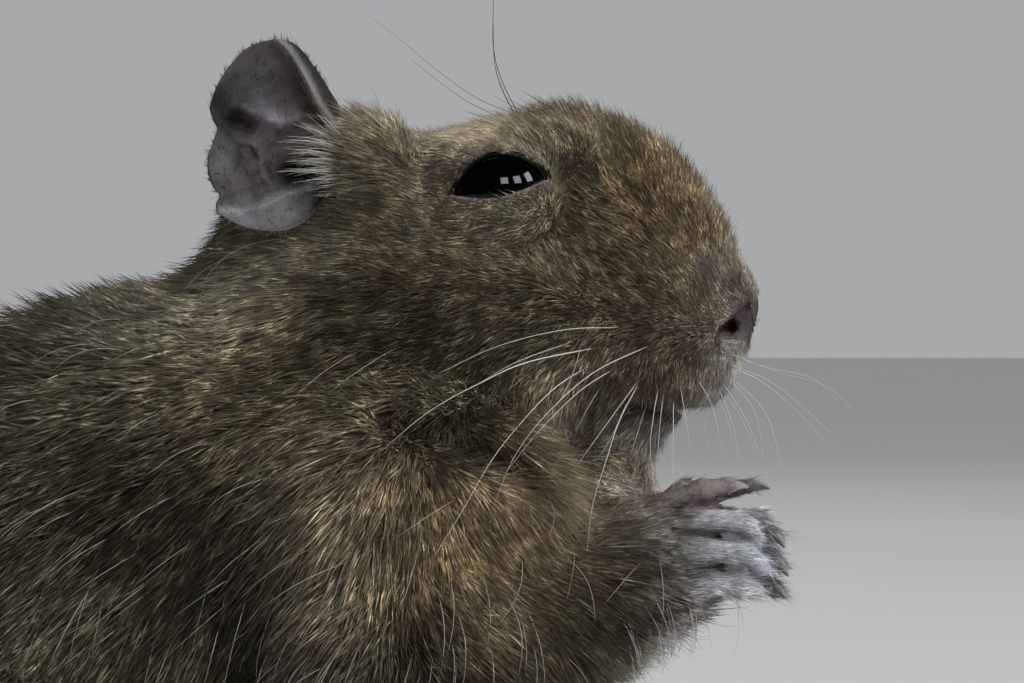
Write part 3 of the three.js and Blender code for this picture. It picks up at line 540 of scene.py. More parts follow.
def net(value, grid):
    """The surface at zero: one point in each cell that it crosses and one face for each edge."""
    inside = value < 0
    shape = np.array(value.shape)
    count = np.zeros(shape - 1, np.int8)
    for corner in product((0, 1), repeat=3):
        count += inside[tuple(slice(c, n - 1 + c) for c, n in zip(corner, shape))]
    mixed = np.argwhere((count > 0) & (count < 8))
    number = np.full(shape - 1, -1)
    number[tuple(mixed.T)] = np.arange(len(mixed))
    total = np.zeros((len(mixed), 3))
    hits = np.zeros(len(mixed))
    place = lambda at: np.stack([axis[at[:, i]] for i, axis in enumerate(grid)], -1)
    for axis in range(3):
        for u, v in product((0, 1), repeat=2):
            a = mixed.copy()
            a[:, (axis + 1) % 3] += u
            a[:, (axis + 2) % 3] += v
            b = a.copy()
            b[:, axis] += 1
            va, vb = value[tuple(a.T)], value[tuple(b.T)]
            crossed = (va < 0) != (vb < 0)
            share = np.where(crossed, va / np.where(crossed, va - vb, 1), 0)
            total += np.where(crossed[:, None], place(a) + share[:, None] * (place(b) - place(a)), 0)
            hits += crossed
    faces = []
    for axis in range(3):
        u, v = np.eye(3, dtype=int)[[(axis + 1) % 3, (axis + 2) % 3]]
        ahead = [slice(None)] * 3
        behind = [slice(None)] * 3
        ahead[axis], behind[axis] = slice(1, None), slice(None, -1)
        edges = np.argwhere(inside[tuple(behind)] != inside[tuple(ahead)])
        edges = edges[np.all((edges > 0) & (edges < shape - 2), axis=1)]
        quad = np.stack([number[tuple((edges - back).T)] for back in (0 * u, u, u + v, v)], -1)
        flip = ~inside[tuple(edges.T)]
        quad[flip] = quad[flip][:, ::-1]
        faces.append(quad[(quad >= 0).all(1)])
    return total / hits[:, None], np.concatenate(faces)


def slope_of(field, points, step=0.05):
    slopes = []
    for axis in range(3):
        shift = np.zeros(3)
        shift[axis] = step
        slopes.append((field(points + shift) - field(points - shift)) / (2 * step))
    return np.stack(slopes, -1)


def settled(points, faces, field, rounds=3):
    """The points evened out along the surface and pulled onto it. Also gives the outward directions."""
    ends = np.concatenate([faces[:, [i, (i + 1) % 4]] for i in range(4)])
    ends = np.concatenate([ends, ends[:, ::-1]])
    near = np.maximum(np.bincount(ends[:, 0], minlength=len(points)), 1)
    for _ in range(rounds):
        slope = slope_of(field, points)
        steep = np.maximum((slope**2).sum(1, keepdims=True), 0.1)
        out = slope / np.sqrt(steep)
        pull = -field(points)[:, None] * slope / steep
        middle = np.stack([np.bincount(ends[:, 0], points[ends[:, 1], i], len(points)) for i in range(3)], -1)
        drift = middle / near[:, None] - points
        drift -= (drift * out).sum(1, keepdims=True) * out
        points = points + np.clip(pull, -0.3, 0.3) + 0.5 * drift
    slope = slope_of(field, points)
    steep = np.maximum((slope**2).sum(1, keepdims=True), 0.1)
    points = points + np.clip(-field(points)[:, None] * slope / steep, -0.3, 0.3)
    return points, unit(slope + 1e-9)


def mesh_object(name, points, faces):
    """A mesh from points in millimetres from the middle of the view, and faces of one size."""
    mesh = bpy.data.meshes.new(name)
    places = (np.asarray(points, float) + (SHIFT, 0, 0)) * MM
    faces = np.asarray(faces, int)
    mesh.vertices.add(len(places))
    mesh.vertices.foreach_set("co", places.ravel())
    mesh.loops.add(faces.size)
    mesh.loops.foreach_set("vertex_index", faces.ravel())
    mesh.polygons.add(len(faces))
    mesh.polygons.foreach_set("loop_start", np.arange(0, faces.size, faces.shape[1]))
    mesh.polygons.foreach_set("use_smooth", np.full(len(faces), True))
    mesh.update(calc_edges=True)
    mesh.validate()
    made = bpy.data.objects.new(name, mesh)
    bpy.context.scene.collection.objects.link(made)
    return made


def give(made, name, kind, values, domain="POINT"):
    """An attribute of the points or faces of a mesh: FLOAT, INT or FLOAT_VECTOR."""
    layer = made.data.attributes.new(name, kind, domain)
    key = "vector" if kind == "FLOAT_VECTOR" else "value"
    layer.data.foreach_set(key, np.asarray(values, float if kind != "INT" else int).ravel())


# How the coat lies: places on the left side, the way that the hair points there, its length and how
# far its tips stand off the skin. Both sides share them.
LIE = [
    ((21, 0, 79.5), (-0.5, 0.1, 0.86), 0.9, 0.25),
    ((17.5, 1, 84), (-0.55, 0.08, 0.83), 2.1, 1.25),
    ((18, 4, 80), (-0.62, 0.15, 0.75), 1.5, 0.45),
    ((13, 2, 89), (-0.68, 0.06, 0.73), 2.7, 1.84),
    ((14, 6, 82), (-0.75, 0.15, 0.62), 2.2, 0.69),
    ((7, 2, 94), (-0.85, 0.06, 0.5), 3.0, 1.72),
    ((8, 7, 86), (-0.85, 0.15, 0.45), 2.6, 0.69),
    ((11, 9, 76), (-0.94, 0.15, 0.2), 2.6, 1.15),
    ((16, 6.6, 78), (-0.45, 0.15, 0.85), 1.6, 0.6),
    ((14.5, 7.4, 76), (-0.95, 0.2, 0), 1.8, 0.7),
    ((17.6, 5, 75), (-0.9, 0.3, -0.2), 1.0, 0.3),
    ((16.4, 6, 72.6), (-0.1, 0.2, -0.95), 1.6, 0.6),
    ((12.6, 8.6, 73), (-0.3, 0.15, -0.92), 2.2, 1.03),
    ((9, 9, 72.2), (-0.75, 0.1, -0.65), 2.6, 1.15),
    ((13, 7, 69.6), (-0.15, 0.1, -0.98), 1.8, 0.5),
    ((19, 3, 72), (-0.3, 0.2, -0.93), 1.2, 0.3),
    ((4, 9.5, 82), (-0.97, 0.1, 0.15), 2.6, 0.69),
    ((0, 4, 96), (-0.98, 0.05, 0.15), 3.0, 1.03),
    ((-3, 8, 92.8), (-0.97, 0.1, 0.2), 1.6, 0.4),
    ((2.4, 7, 93), (-0.9, 0.05, 0.4), 2.4, 0.8),
    ((5, 8, 90.5), (-0.55, 0.0, 0.83), 2.2, 0.5),
    ((7.5, 6, 90), (-0.6, 0.0, 0.8), 2.3, 0.6),
    ((-3, 11.5, 82.5), (-0.99, 0.1, -0.05), 2.4, 0.57),
    ((5, 10, 74), (-0.97, 0.1, -0.15), 3.4, 1.03),
    ((-9, 6, 94.5), (-0.98, 0.1, 0.0), 3.2, 1.15),
    ((-12, 11, 88), (-0.97, 0.15, 0.05), 3.0, 1.03),
    ((-16, 8, 93), (-0.9, 0.25, 0.25), 2.6, 1.03),
    ((-18, 12, 84), (-0.95, 0.1, -0.3), 3.4, 1.5),
    ((-22, 5, 90), (-0.9, 0.1, -0.4), 3.4, 1.5),
    ((-9, 14, 77), (-0.97, 0.05, -0.25), 3.4, 1.4),
    ((2, 11, 69), (-0.93, 0.0, -0.4), 3.7, 1.5),
    ((10, 5, 64.5), (-0.9, 0.0, -0.3), 2.6, 0.8),
    ((2, 4, 61), (-0.85, 0.0, -0.5), 3.4, 1.4),
    ((-7, 14, 69.5), (-0.85, 0.1, -0.55), 4.2, 2.1),
    ((-1.5, 11, 68), (-0.8, 0.1, -0.6), 3.7, 1.7),
    ((-12, 17, 69), (-0.85, 0.1, -0.55), 4.5, 2.2),
    ((-18, 16, 73), (-0.88, 0.1, -0.45), 4.5, 1.9),
    ((-30, 6, 79), (-0.82, 0.1, -0.55), 4.8, 2.2),
    ((-32, 16, 68), (-0.75, 0.1, -0.6), 5.6, 2.5),
    ((-22, 20, 60), (-0.6, 0.1, -0.8), 5.3, 2.2),
    ((-15.5, 20, 66), (-0.75, 0.25, -0.65), 4.6, 1.3),
    ((-15.5, 24, 60), (-0.5, 0.15, -0.85), 5.0, 1.7),
    ((-15, 26, 53), (-0.35, 0.1, -0.93), 5.1, 2.2),
    ((-10, 23, 63), (-0.3, 0.3, -0.9), 4.3, 1.4),
    ((-9.5, 26, 56), (-0.25, 0.1, -0.95), 4.6, 1.9),
    ((-6, 21, 64), (0.1, 0.3, -0.95), 3.8, 1.5),
    ((-2.5, 18, 64), (0.45, 0.1, -0.85), 3.8, 1.9),
    ((0.7, 15, 64), (0.8, 0, -0.55), 5.2, 3.0),
    ((3, 15, 60.5), (0.85, 0, -0.5), 4.8, 2.4),
    ((0.5, 20, 56), (0.7, 0, -0.7), 3.8, 1.8),
    ((-3.5, 25, 52.7), (0.2, 0, -0.98), 4.3, 2.1),
    ((7.4, 13, 54), (0.85, 0, -0.5), 3.6, 1.26),
    ((7.4, 13, 48.5), (0.65, 0, -0.75), 4.0, 2.2),
    ((0, 22, 46), (0.4, 0, -0.9), 4.3, 2.2),
    ((-4, 27, 42), (0.1, 0, -1), 4.8, 2.2),
    ((10, 11, 56.5), (0.95, -0.1, -0.3), 2.6, 0.8),
    ((11.5, 9, 50.5), (0.8, -0.1, -0.55), 3.4, 2.1),
    ((4, 2, 56), (-0.4, 0.1, -0.9), 4.4, 1.9),
    ((-2, 4, 44), (-0.2, 0.1, -0.97), 5.2, 2.2),
    ((-44, 4, 71), (-0.9, 0.05, -0.4), 6.4, 2.8),
    ((-42, 20, 56), (-0.65, 0.1, -0.75), 6.7, 2.9),
    ((-28, 24, 44), (-0.5, 0.15, -0.85), 6.7, 2.9),
    ((-62, 6, 66), (-0.93, 0.05, -0.35), 6.9, 3.0),
    ((-60, 26, 48), (-0.7, 0.1, -0.7), 6.9, 3.0),
    ((-82, 8, 52), (-0.7, 0.05, -0.7), 6.9, 3.0),
    ((-92, 6, 30), (-0.4, 0.0, -0.9), 6.4, 2.7),
    ((-84, 24, 28), (-0.6, 0.1, -0.8), 6.7, 2.9),
    ((-12, 8, 30), (-0.2, 0.1, -0.97), 5.6, 2.4),
    ((-20, 6, 12), (-0.7, 0.1, -0.7), 4.8, 1.9),
    ((-45, 34, 34), (-0.6, 0.1, -0.8), 5.9, 2.5),
    ((-60, 34, 22), (-0.5, 0.1, -0.85), 5.9, 2.5),
    ((-28, 34, 22), (-0.2, 0.1, -0.95), 4.8, 1.9),
    ((-20, 28, 16), (-0.1, 0.1, -0.97), 3.7, 1.3),
    ((-34, 30, 9), (0.3, 0.1, -0.8), 3.6, 1.03),
    ((-42, 26, 4), (0.7, 0.1, -0.5), 1.8, 0.4),
    ((-25, 27, 6), (0.97, 0.1, -0.1), 1.9, 0.4),
    ((-8, 29, 3), (0.98, 0.12, -0.15), 1.4, 0.28),
    ((14, 8.5, 57), (0.96, -0.05, 0.0), 1.5, 0.3),
    ((18, 9, 57), (0.95, -0.2, -0.08), 1.3, 0.22),
    ((15.6, 6, 62.4), (0.96, -0.05, 0.0), 1.2, 0.15),
    ((21.5, 6.5, 56), (0.8, -0.4, -0.35), 1.9, 0.4),
    ((-86, 0, 12), (-0.95, 0, -0.3), 4.0, 1.6),
    ((-98, 1, 6), (-0.98, 0.05, -0.1), 3.0, 0.92),
    ((-115, 2, 5), (-0.97, 0.18, 0), 2.2, 0.69),
    ((-138, 9, 4), (-0.9, 0.42, 0), 2.6, 0.92),
    ((-150, 15, 4), (-0.87, 0.5, 0), 5.2, 2.1),
    ((-161, 21, 3), (-0.82, 0.57, 0.05), 8.5, 3.0),
]

# Markings, and painted shade under the jaw and on the throat, as soft patches over the coat's own brown:
# where, how wide, the colour, its strength, and how plain the hair is there, without dark and light bands.
COAT_BROWN = srgb(128, 115, 90)
MARKS_AND_PAINTED_SHADE = [
    ((-21, 22, 55), (6, 12, 9), srgb(58, 56, 52), 0.8, 0.1),
    ((-12, 24, 48), (9, 12, 4), srgb(66, 64, 60), 0.7, 0.1),
    ((-31, 20, 64), (11, 14, 8), srgb(78, 74, 62), 0.75, 0.0),
    ((-37, 22, 50.5), (10, 14, 5.5), srgb(176, 169, 142), 0.8, 0.1),
    ((-20, 15, 71), (10, 12, 5.5), srgb(172, 156, 123), 0.8, 0.05),
    ((-20, 13, 79.5), (7, 9, 4.5), srgb(186, 172, 142), 0.75, 0.1),
    ((-50, 0, 72), (60, 16, 14), srgb(104, 95, 76), 0.75, 0.0),
    ((-12, 0, 95), (18, 7, 5), srgb(208, 190, 160), 0.85, 0.05),
    ((15, 0, 87), (10, 10, 9.5), srgb(194, 172, 136), 0.9, 0.0),
    ((-30, 30, 24), (60, 16, 22), srgb(116, 108, 92), 0.45, 0.1),
    ((-3.4, 8.5, 93.2), (4.6, 4, 2.7), srgb(196, 182, 152), 1.0, 0.85),
    ((-7.5, 10.5, 88), (4.5, 3, 3), srgb(150, 136, 108), 0.6, 0.3),
    ((-2, 11, 82), (6.5, 3, 2.0), srgb(142, 129, 104), 0.55, 0.3),
    ((-14, 12, 89), (4.5, 4, 5.5), srgb(170, 157, 130), 0.8, 0.3),
    ((-12.2, 11, 92), (3.6, 4, 4.6), srgb(196, 184, 158), 0.85, 0.4),
    ((-20, 11, 83), (4, 5, 3), srgb(132, 122, 102), 0.5, 0.4),
    ((-17, 8, 94), (4, 4, 4), srgb(156, 138, 108), 0.8, 0.3),
    ((-26, 10, 80), (9, 12, 6), srgb(206, 195, 168), 0.85, 0.1),
    ((13, 8, 74), (5, 4, 4.5), srgb(136, 118, 100), 0.75, 0.1),
    ((19.2, 3.2, 80), (3.2, 4.4, 2.8), srgb(142, 133, 119), 0.85, 0.5),
    ((18.9, 3.4, 71.6), (2.6, 4.4, 4.0), srgb(160, 153, 146), 1.0, 0.85),
    ((14, 4, 69.5), (4, 4, 1.6), srgb(120, 113, 106), 0.8, 0.6),
    # painted shade: a dark grey patch under the jaw, where shade falls
    ((8, 4, 66.6), (7, 6, 3.2), srgb(56, 52, 48), 0.95, 0.5),
    ((14.2, 1, 67.4), (3, 4.5, 1.8), srgb(132, 124, 116), 0.9, 0.7),
    # grey throat: partly its own grey, partly painted shade under the head
    ((1, 6, 64.5), (7, 7, 4), srgb(80, 75, 70), 0.85, 0.4),
    ((-7, 22, 58), (9, 9, 7), srgb(204, 186, 154), 0.9, 0.15),
    ((-1, 17, 61.5), (6, 7, 4), srgb(202, 182, 148), 0.85, 0.15),
    ((3.5, 14, 64), (3, 5, 4.5), srgb(172, 152, 118), 0.8, 0.4),
    ((4, 0, 54), (9, 12, 8), srgb(160, 146, 124), 0.9, 0.6),
    ((8.5, 3, 60.5), (4, 5, 4.5), srgb(208, 194, 166), 0.95, 0.6),
    ((-4, 0, 34), (16, 13, 24), srgb(160, 147, 124), 0.85, 0.5),
    ((-34, 0, 6), (34, 15, 9), srgb(160, 149, 128), 0.85, 0.5),
    ((9.5, 9, 54), (4.2, 6, 5), srgb(84, 78, 71), 0.9, 0.3),
    ((9, 8, 47.5), (5, 6, 2.5), srgb(196, 190, 182), 0.9, 0.9),
    ((19.4, 6, 56.5), (5.6, 8, 6), srgb(204, 205, 212), 1.0, 0.95),
    ((16.2, 6.4, 61.6), (5, 2.6, 1.4), srgb(150, 138, 134), 0.9, 0.95),
    ((-24, 27, 2.5), (26, 8, 5), srgb(176, 169, 157), 0.9, 0.45),
    ((-120, 4, 2), (28, 9, 3), srgb(140, 128, 104), 0.6, 0.4),
    ((-125, 6, 7), (40, 14, 4), srgb(74, 63, 50), 0.8, 0.4),
    ((-157, 18, 4), (21, 14, 12), srgb(26, 22, 20), 0.95, 0.9),
]

# Bare or nearly bare skin, and painted shade behind the ear and under the palm: where, how wide, and its
# colour.
BARE_AND_PAINTED_SHADE = [
    ((20.0, 2.6, 76.4), (1.6, 2.7, 2.1), srgb(62, 53, 54)),
    ((21.2, 0.8, 77.2), (1.2, 2.2, 1.5), srgb(50, 45, 44)),
    # painted shadow: near-black skin in the gap between the ear's lowest lobe and the head
    ((-16.3, 12.5, 86.4), (1.8, 3, 1.5), srgb(9, 7, 7)),
    ((4.6, 11.2, 87.4), (1.2, 2.4, 1.3), srgb(46, 42, 42)),
    # darker palm skin at the bottom of the hand: partly the palm's own colour, partly painted shade under it
    ((14.6, 5.4, 51.4), (3.2, 3.4, 1.6), srgb(76, 60, 54)),
    ((15.3, 6.4, 61.6), (4.4, 2.6, 1.5), srgb(136, 122, 120)),
    ((-22, 27, -0.4), (28, 9, 1.5), srgb(96, 80, 76)),
]


def guided(points, out):
    """Direction, length and rise of the hair at each point, from the nearest places listed."""
    side = np.where(points[:, 1] < 0, -1.0, 1.0)
    folded = points * [1, 0, 1] + np.abs(points * [0, 1, 0])
    tail = points[:, 0] < -97
    folded[tail, 1] = points[tail, 1]
    side[tail] = 1.0
    total = np.zeros((len(points), 5))
    weights = np.zeros(len(points))
    for at, lie, length, rise in LIE:
        away = ((folded - np.array(at, float)) ** 2).sum(1)
        weight = 1 / (away + 5) ** 2.2
        total += weight[:, None] * np.array((*unit(lie), length, rise))
        weights += weight
    total /= weights[:, None]
    lie = total[:, :3]
    lie[:, 1] *= side
    waves = np.stack([np.sin(points @ wave + phase) for wave, phase in WAVES], -1)
    lie = unit(lie) + 0.11 * (waves[:, :3] + 0.8 * waves[:, 3:6] + 0.6 * waves[:, 6:9])
    lie -= (lie * out).sum(1, keepdims=True) * out
    return unit(lie + 1e-6), total[:, 3], total[:, 4]


RANDOM = np.random.default_rng(7)
WAVES = [
    (RANDOM.normal(size=3) * 2 * math.pi / size, RANDOM.uniform(0, 2 * math.pi))
    for size in (26, 24, 28, 13, 14, 12, 6.5, 7, 6)
]


def patch(points, at, radii):
    """1 at the middle of a soft patch, and 0 well outside it. Both sides have it."""
    folded = points * [1, 0, 1] + np.abs(points * [0, 1, 0])
    if at[0] < -100:
        folded = points
    away = (((folded - np.array(at, float)) / radii) ** 2).sum(1)
    return 1 / (1 + away**2.2)


def marked_and_shaded(points):
    """The coat's colour and how plain it is, place by place, with painted shade in the shoulder crease and
    between the fingers.
    """
    tone = np.tile(np.array(COAT_BROWN), (len(points), 1))
    plain = np.zeros(len(points))
    for at, radii, colour, strength, even in MARKS_AND_PAINTED_SHADE:
        share = strength * patch(points, at, radii)
        tone += share[:, None] * (np.array(colour) - tone)
        plain += share * (even - plain)
    clouds = np.stack([np.sin(points @ wave + phase) for wave, phase in WAVES[3:]], -1).mean(1)
    # clouds vary the tone at random; the shoulder_fold term is painted shade along the crease over the arm
    tone *= (1 + 0.35 * clouds - 0.6 * shoulder_fold(points))[:, None]
    # painted shade: the tone darkened in the creases between the fingers
    return tone * (1 - 0.93 * finger_gaps(points, 1.0))[:, None], plain


def bared_and_shaded(points):
    bare = np.zeros(len(points))
    hide = np.tile(np.array(srgb(120, 104, 100)), (len(points), 1))
    for at, radii, colour in BARE_AND_PAINTED_SHADE:
        share = patch(points, at, radii)
        hide += share[:, None] * (np.array(colour) - hide)
        bare = np.maximum(bare, share)
    # painted shade: near-black bare skin in the creases between the fingers
    creases = finger_gaps(points)
    hide += creases[:, None] * (np.array(srgb(22, 17, 17)) - hide)
    bare = np.maximum(bare, creases)
    # painted shade: the hide darkened along the line of the mouth
    groove = near_line(points[:, [0, 2]], MOUTH_LINE) + 3 * (points[:, 0] < 9)
    dark = np.exp(-((groove / 0.55) ** 2)) * (np.abs(points[:, 1]) < 9)
    hide *= 1 - 0.85 * dark[:, None]
    return np.maximum(bare, dark), hide


# Regions of the coat and the tufts in each, so few that each piece stays small enough
TUFTS = {"face_left": 8000, "face_right": 9600, "head_left": 6600, "head_right": 9600}
TUFTS |= {"shoulder_left": 6400, "shoulder_right": 9600, "leg_left": 2900, "leg_right": 2900}
TUFTS |= {"flank_left": 3400, "flank_right": 4000, "rump": 4200, "paws": 2600, "feet": 2100, "tail": 3200}
REGIONS = list(TUFTS)
CALM = {"paws": 0.45, "feet": 0.5}
HAIRS_IN_TUFT = 5
TUFT_KINDS = 12


def region_of(points):
    x, y, z = points.T
    above = (points - HEAD_PLANE["at"]) @ np.array(HEAD_PLANE["normal"]) > -3
    kinds = np.full(len(points), "flank", "U8")
    kinds[(x > -44) & (z <= 40)] = "leg"
    kinds[(x > -44) & (z > 40)] = "shoulder"
    kinds[above] = "head"
    kinds[above & (x > 1)] = "face"
    numbers = np.zeros(len(points), int)
    for number, name in enumerate(REGIONS):
        kind, _, side = name.partition("_")
        numbers[(kinds == kind) & ((y > 0) == (side == "left"))] = number
    numbers[x < -74] = REGIONS.index("rump")
    numbers[(x > 10) & (z < 63)] = REGIONS.index("paws")
    numbers[(x > -52) & (z < 10)] = REGIONS.index("feet")
    numbers[x < -94] = REGIONS.index("tail")
    return numbers


# Each hair is about this wide at its root, as a share of its length and at most, in mm.
GIRTH_SHARE = 0.025
GIRTH_LEAST = 0.1
GIRTH_MOST = 0.2


def coat_values(points, out):
    """Everything that the coat reads from the skin, place by place."""
    lie, length, rise = guided(points, out)
    tone, plain = marked_and_shaded(points)
    bare, hide = bared_and_shaded(points)
    for side in SIDES.values():
        ahead, up, level = in_gaze(points, side)
        upper, lower = lid_edge(ahead / (OPENING["length"] / 2 + 0.6))
        beside = np.maximum(np.maximum(up - upper, lower - up), np.abs(ahead) - OPENING["length"] / 2)
        beside = np.where((level > 0) & (points[:, 1] * side > 0), beside, FAR)
        length = length * (0.42 + 0.58 * smoothstep(0.3, 4.0, beside))
        rise = rise * (0.25 + 0.75 * smoothstep(0.5, 5.0, beside))
        bare = np.maximum(bare, 1 - smoothstep(0.35, 0.6, beside))
        rim = 1 - smoothstep(0.25, 0.55, beside)
        hide += rim[:, None] * (np.where(up < 0, 0.16, 0.006)[:, None] - hide)
    folded = points * [1, 0, 1] + np.abs(points * [0, 1, 0])
    ear = np.linalg.norm((folded - [-18.5, 10.5, 90]) / [4.4, 3.4, 5.6], axis=1)
    bare = np.maximum(bare, 1 - smoothstep(0.75, 1.0, ear))
    level = out[:, 1] * np.where(points[:, 1] < 0, -1, 1)
    palm = (1 - smoothstep(-0.35, 0.25, level)) * (points[:, 0] > 13)
    palm = palm * (points[:, 2] > 48) * (points[:, 2] < 66)
    palm *= 1 - 0.8 * smoothstep(20.6, 22.4, points[:, 0])
    hide += palm[:, None] * (np.array(srgb(98, 81, 78)) - hide)
    tone *= 1 - 0.5 * palm[:, None]
    bare = np.maximum(bare, 0.8 * palm)
    girth = np.clip(length * GIRTH_SHARE, GIRTH_LEAST, GIRTH_MOST)
    girth = np.where((points[:, 0] > 10) & (points[:, 2] < 63), 0.7 * girth, girth)
    return dict(lie=lie, length=length, rise=rise, tone=tone, plain=plain, bare=bare, hide=hide, girth=girth)


# Node trees and materials


def socket(ports, name):
    """The port of that name that is in use."""
    return next(port for port in ports if port.name == name and port.enabled)


class Tree:
    """Adds nodes to a tree, and links whatever is given for their inputs."""

    def __init__(self, tree):
        self.tree = tree

    def node(self, kind, inputs=None, **settings):
        made = self.tree.nodes.new(kind)
        for key, value in settings.items():
            setattr(made, key, value)
        for name, value in (inputs or {}).items():
            port = made.inputs[name] if isinstance(name, int) else socket(made.inputs, name)
            if isinstance(value, bpy.types.NodeSocket):
                self.tree.links.new(value, port)
            else:
                port.default_value = value
        return made

    def out(self, kind, inputs=None, **settings):
        made = self.node(kind, inputs, **settings)
        return next(one for one in made.outputs if one.enabled)

    def math(self, operation, a, b=0.0, c=0.0):
        return self.out("ShaderNodeMath", {0: a, 1: b, 2: c}, operation=operation)

    def vector(self, operation, a, b=(0, 0, 0), scale=None):
        inputs = {0: a} if operation in ("NORMALIZE", "SCALE", "LENGTH") else {0: a, 1: b}
        if scale is not None:
            inputs["Scale"] = scale
        return self.out("ShaderNodeVectorMath", inputs, operation=operation)

    def mix(self, share, a, b, blend="MIX"):
        made = self.node("ShaderNodeMix", data_type="RGBA", blend_type=blend)
        for name, value in (("Factor", share), ("A", a), ("B", b)):
            port = socket(made.inputs, name)
            if isinstance(value, bpy.types.NodeSocket):
                self.tree.links.new(value, port)
            else:
                port.default_value = value if name == "Factor" else (*value[:3], 1.0)
        return socket(made.outputs, "Result")

    def ramp(self, share, stops):
        made = self.node("ShaderNodeValToRGB", {"Fac": share})
        ramp = made.color_ramp
        while len(ramp.elements) < len(stops):
            ramp.elements.new(0.5)
        for element, (at, value) in zip(ramp.elements, stops):
            element.position = at
            colour = value if isinstance(value, tuple) else (value,) * 3
            element.color = (*colour, 1.0)
        return made.outputs["Color"]

    def read(self, name, port="Fac"):
        """An attribute, in a material."""
        return socket(self.node("ShaderNodeAttribute", attribute_name=name).outputs, port)

    def named(self, name, kind="FLOAT"):
        """An attribute, in geometry nodes."""
        return self.out("GeometryNodeInputNamedAttribute", {"Name": name}, data_type=kind)

    def noise(self, place, scale, detail=3.0, roughness=0.55):
        made = self.node("ShaderNodeTexNoise", {"Vector": place, "Scale": scale, "Detail": detail})
        made.inputs["Roughness"].default_value = roughness
        return next(one for one in made.outputs if one.name in ("Factor", "Fac", "Color"))


def new_material(name, shader):
    """A material with one Principled shader whose plain numbers stand on its own sockets."""
    material = bpy.data.materials.new(name)
    material.use_nodes = True
    tree = Tree(material.node_tree)
    principled = material.node_tree.nodes["Principled BSDF"]
    for key, value in shader.items():
        principled.inputs[key].default_value = value
    return material, tree, principled


def bumped(tree, principled, height, distance, strength=0.6):
    bump = tree.node("ShaderNodeBump", {"Height": height, "Strength": strength, "Distance": distance})
    tree.tree.links.new(bump.outputs["Normal"], principled.inputs["Normal"])


def object_place(tree):
    return socket(tree.node("ShaderNodeTexCoord").outputs, "Object")


def coat_material():
    """Hair with a dark root, a light band and a dark tip, tinted by the marking that it grows from."""
    material, tree, principled = new_material("agouti_hair", {"Roughness": 0.55})
    principled.inputs["Specular IOR Level"].default_value = 0.35
    shade, strand = tree.read("shade"), tree.read("strand")
    tone, plain = tree.read("tone", "Color"), tree.read("plain")
    along = tree.math("MULTIPLY_ADD", tree.math("SUBTRACT", shade, 0.5), 0.22, tree.read("along"))
    along = tree.math("MULTIPLY_ADD", tree.math("SUBTRACT", strand, 0.5), 0.2, along)
    band = tree.ramp(along, [(0.0, 0.0), (0.28, 0.03), (0.4, 0.9), (0.62, 1.0), (0.72, 0.25), (1.0, 0.03)])
    guard = tree.ramp(shade, [(0.0, 0.02), (0.2, 0.06), (0.28, 1.0), (1.0, 1.0)])
    light = tree.math("MULTIPLY", band, guard)
    place = object_place(tree)
    clump = tree.math("MULTIPLY_ADD", tree.noise(place, 700.0, 2.0), 3.2, -0.6)
    cloud = tree.math("MULTIPLY_ADD", tree.noise(place, 210.0, 3.0, 0.6), 2.4, -0.2)
    shaded = tree.math("MULTIPLY_ADD", shade, 0.5, 0.75)
    cloud = tree.math("MULTIPLY", tree.math("MAXIMUM", cloud, 0.3), shaded)
    clump = tree.math("MULTIPLY", tree.math("MAXIMUM", clump, 0.2), cloud)
    vivid = tree.math("MULTIPLY_ADD", tree.math("POWER", strand, 1.7), 1.7, 0.6)
    bright = tree.vector("SCALE", tone, scale=tree.math("MULTIPLY", vivid, clump))
    dark = tree.mix(0.78, tone, srgb(22, 19, 17))
    colour = tree.mix(light, dark, bright)
    mild = tree.math("MULTIPLY_ADD", tree.math("POWER", strand, 1.4), 0.75, 0.62)
    soft = tree.math("MULTIPLY_ADD", clump, 0.5, 0.5)
    faded = tree.vector("SCALE", tone, scale=tree.math("MULTIPLY", mild, soft))
    colour = tree.mix(plain, colour, faded)
    tree.tree.links.new(colour, principled.inputs["Base Color"])
    return material


def skin_material():
    """The undercoat: the marking's colour, much darker and flecked, and bare hide where no hair grows."""
    material, tree, principled = new_material("degu_skin", {"Roughness": 0.72})
    principled.inputs["Specular IOR Level"].default_value = 0.3
    place = object_place(tree)
    fleck = tree.ramp(tree.noise(place, 1500.0, 2.0), [(0.42, 0.0), (0.62, 1.0)])
    tone = tree.read("tone", "Color")
    dark = tree.mix(0.75, tone, srgb(22, 19, 17))
    dark = tree.mix(tree.math("MULTIPLY", tree.read("plain"), 0.5), dark, tone)
    fur = tree.mix(tree.math("MULTIPLY", fleck, 0.4), dark, tone)
    pores = tree.noise(place, 2600.0, 2.0)
    hide = tree.mix(tree.math("MULTIPLY", pores, 0.5), tree.read("hide", "Color"), (0.02, 0.015, 0.015))
    colour = tree.mix(tree.read("bare"), fur, hide)
    tree.tree.links.new(colour, principled.inputs["Base Color"])
    bumped(tree, principled, tree.math("ADD", tree.noise(place, 1100.0, 4.0), pores), 0.00022, 0.7)
    return material


TUFT_SEED = 11
BLADE_FACES = ((0, 2, 1), (0, 1, 3), (1, 2, 3), (2, 0, 3))
BLADE_PATCH = ((0.1, 0.1), (0.1, 0.9), (0.3, 0.5), (0.9, 0.5))


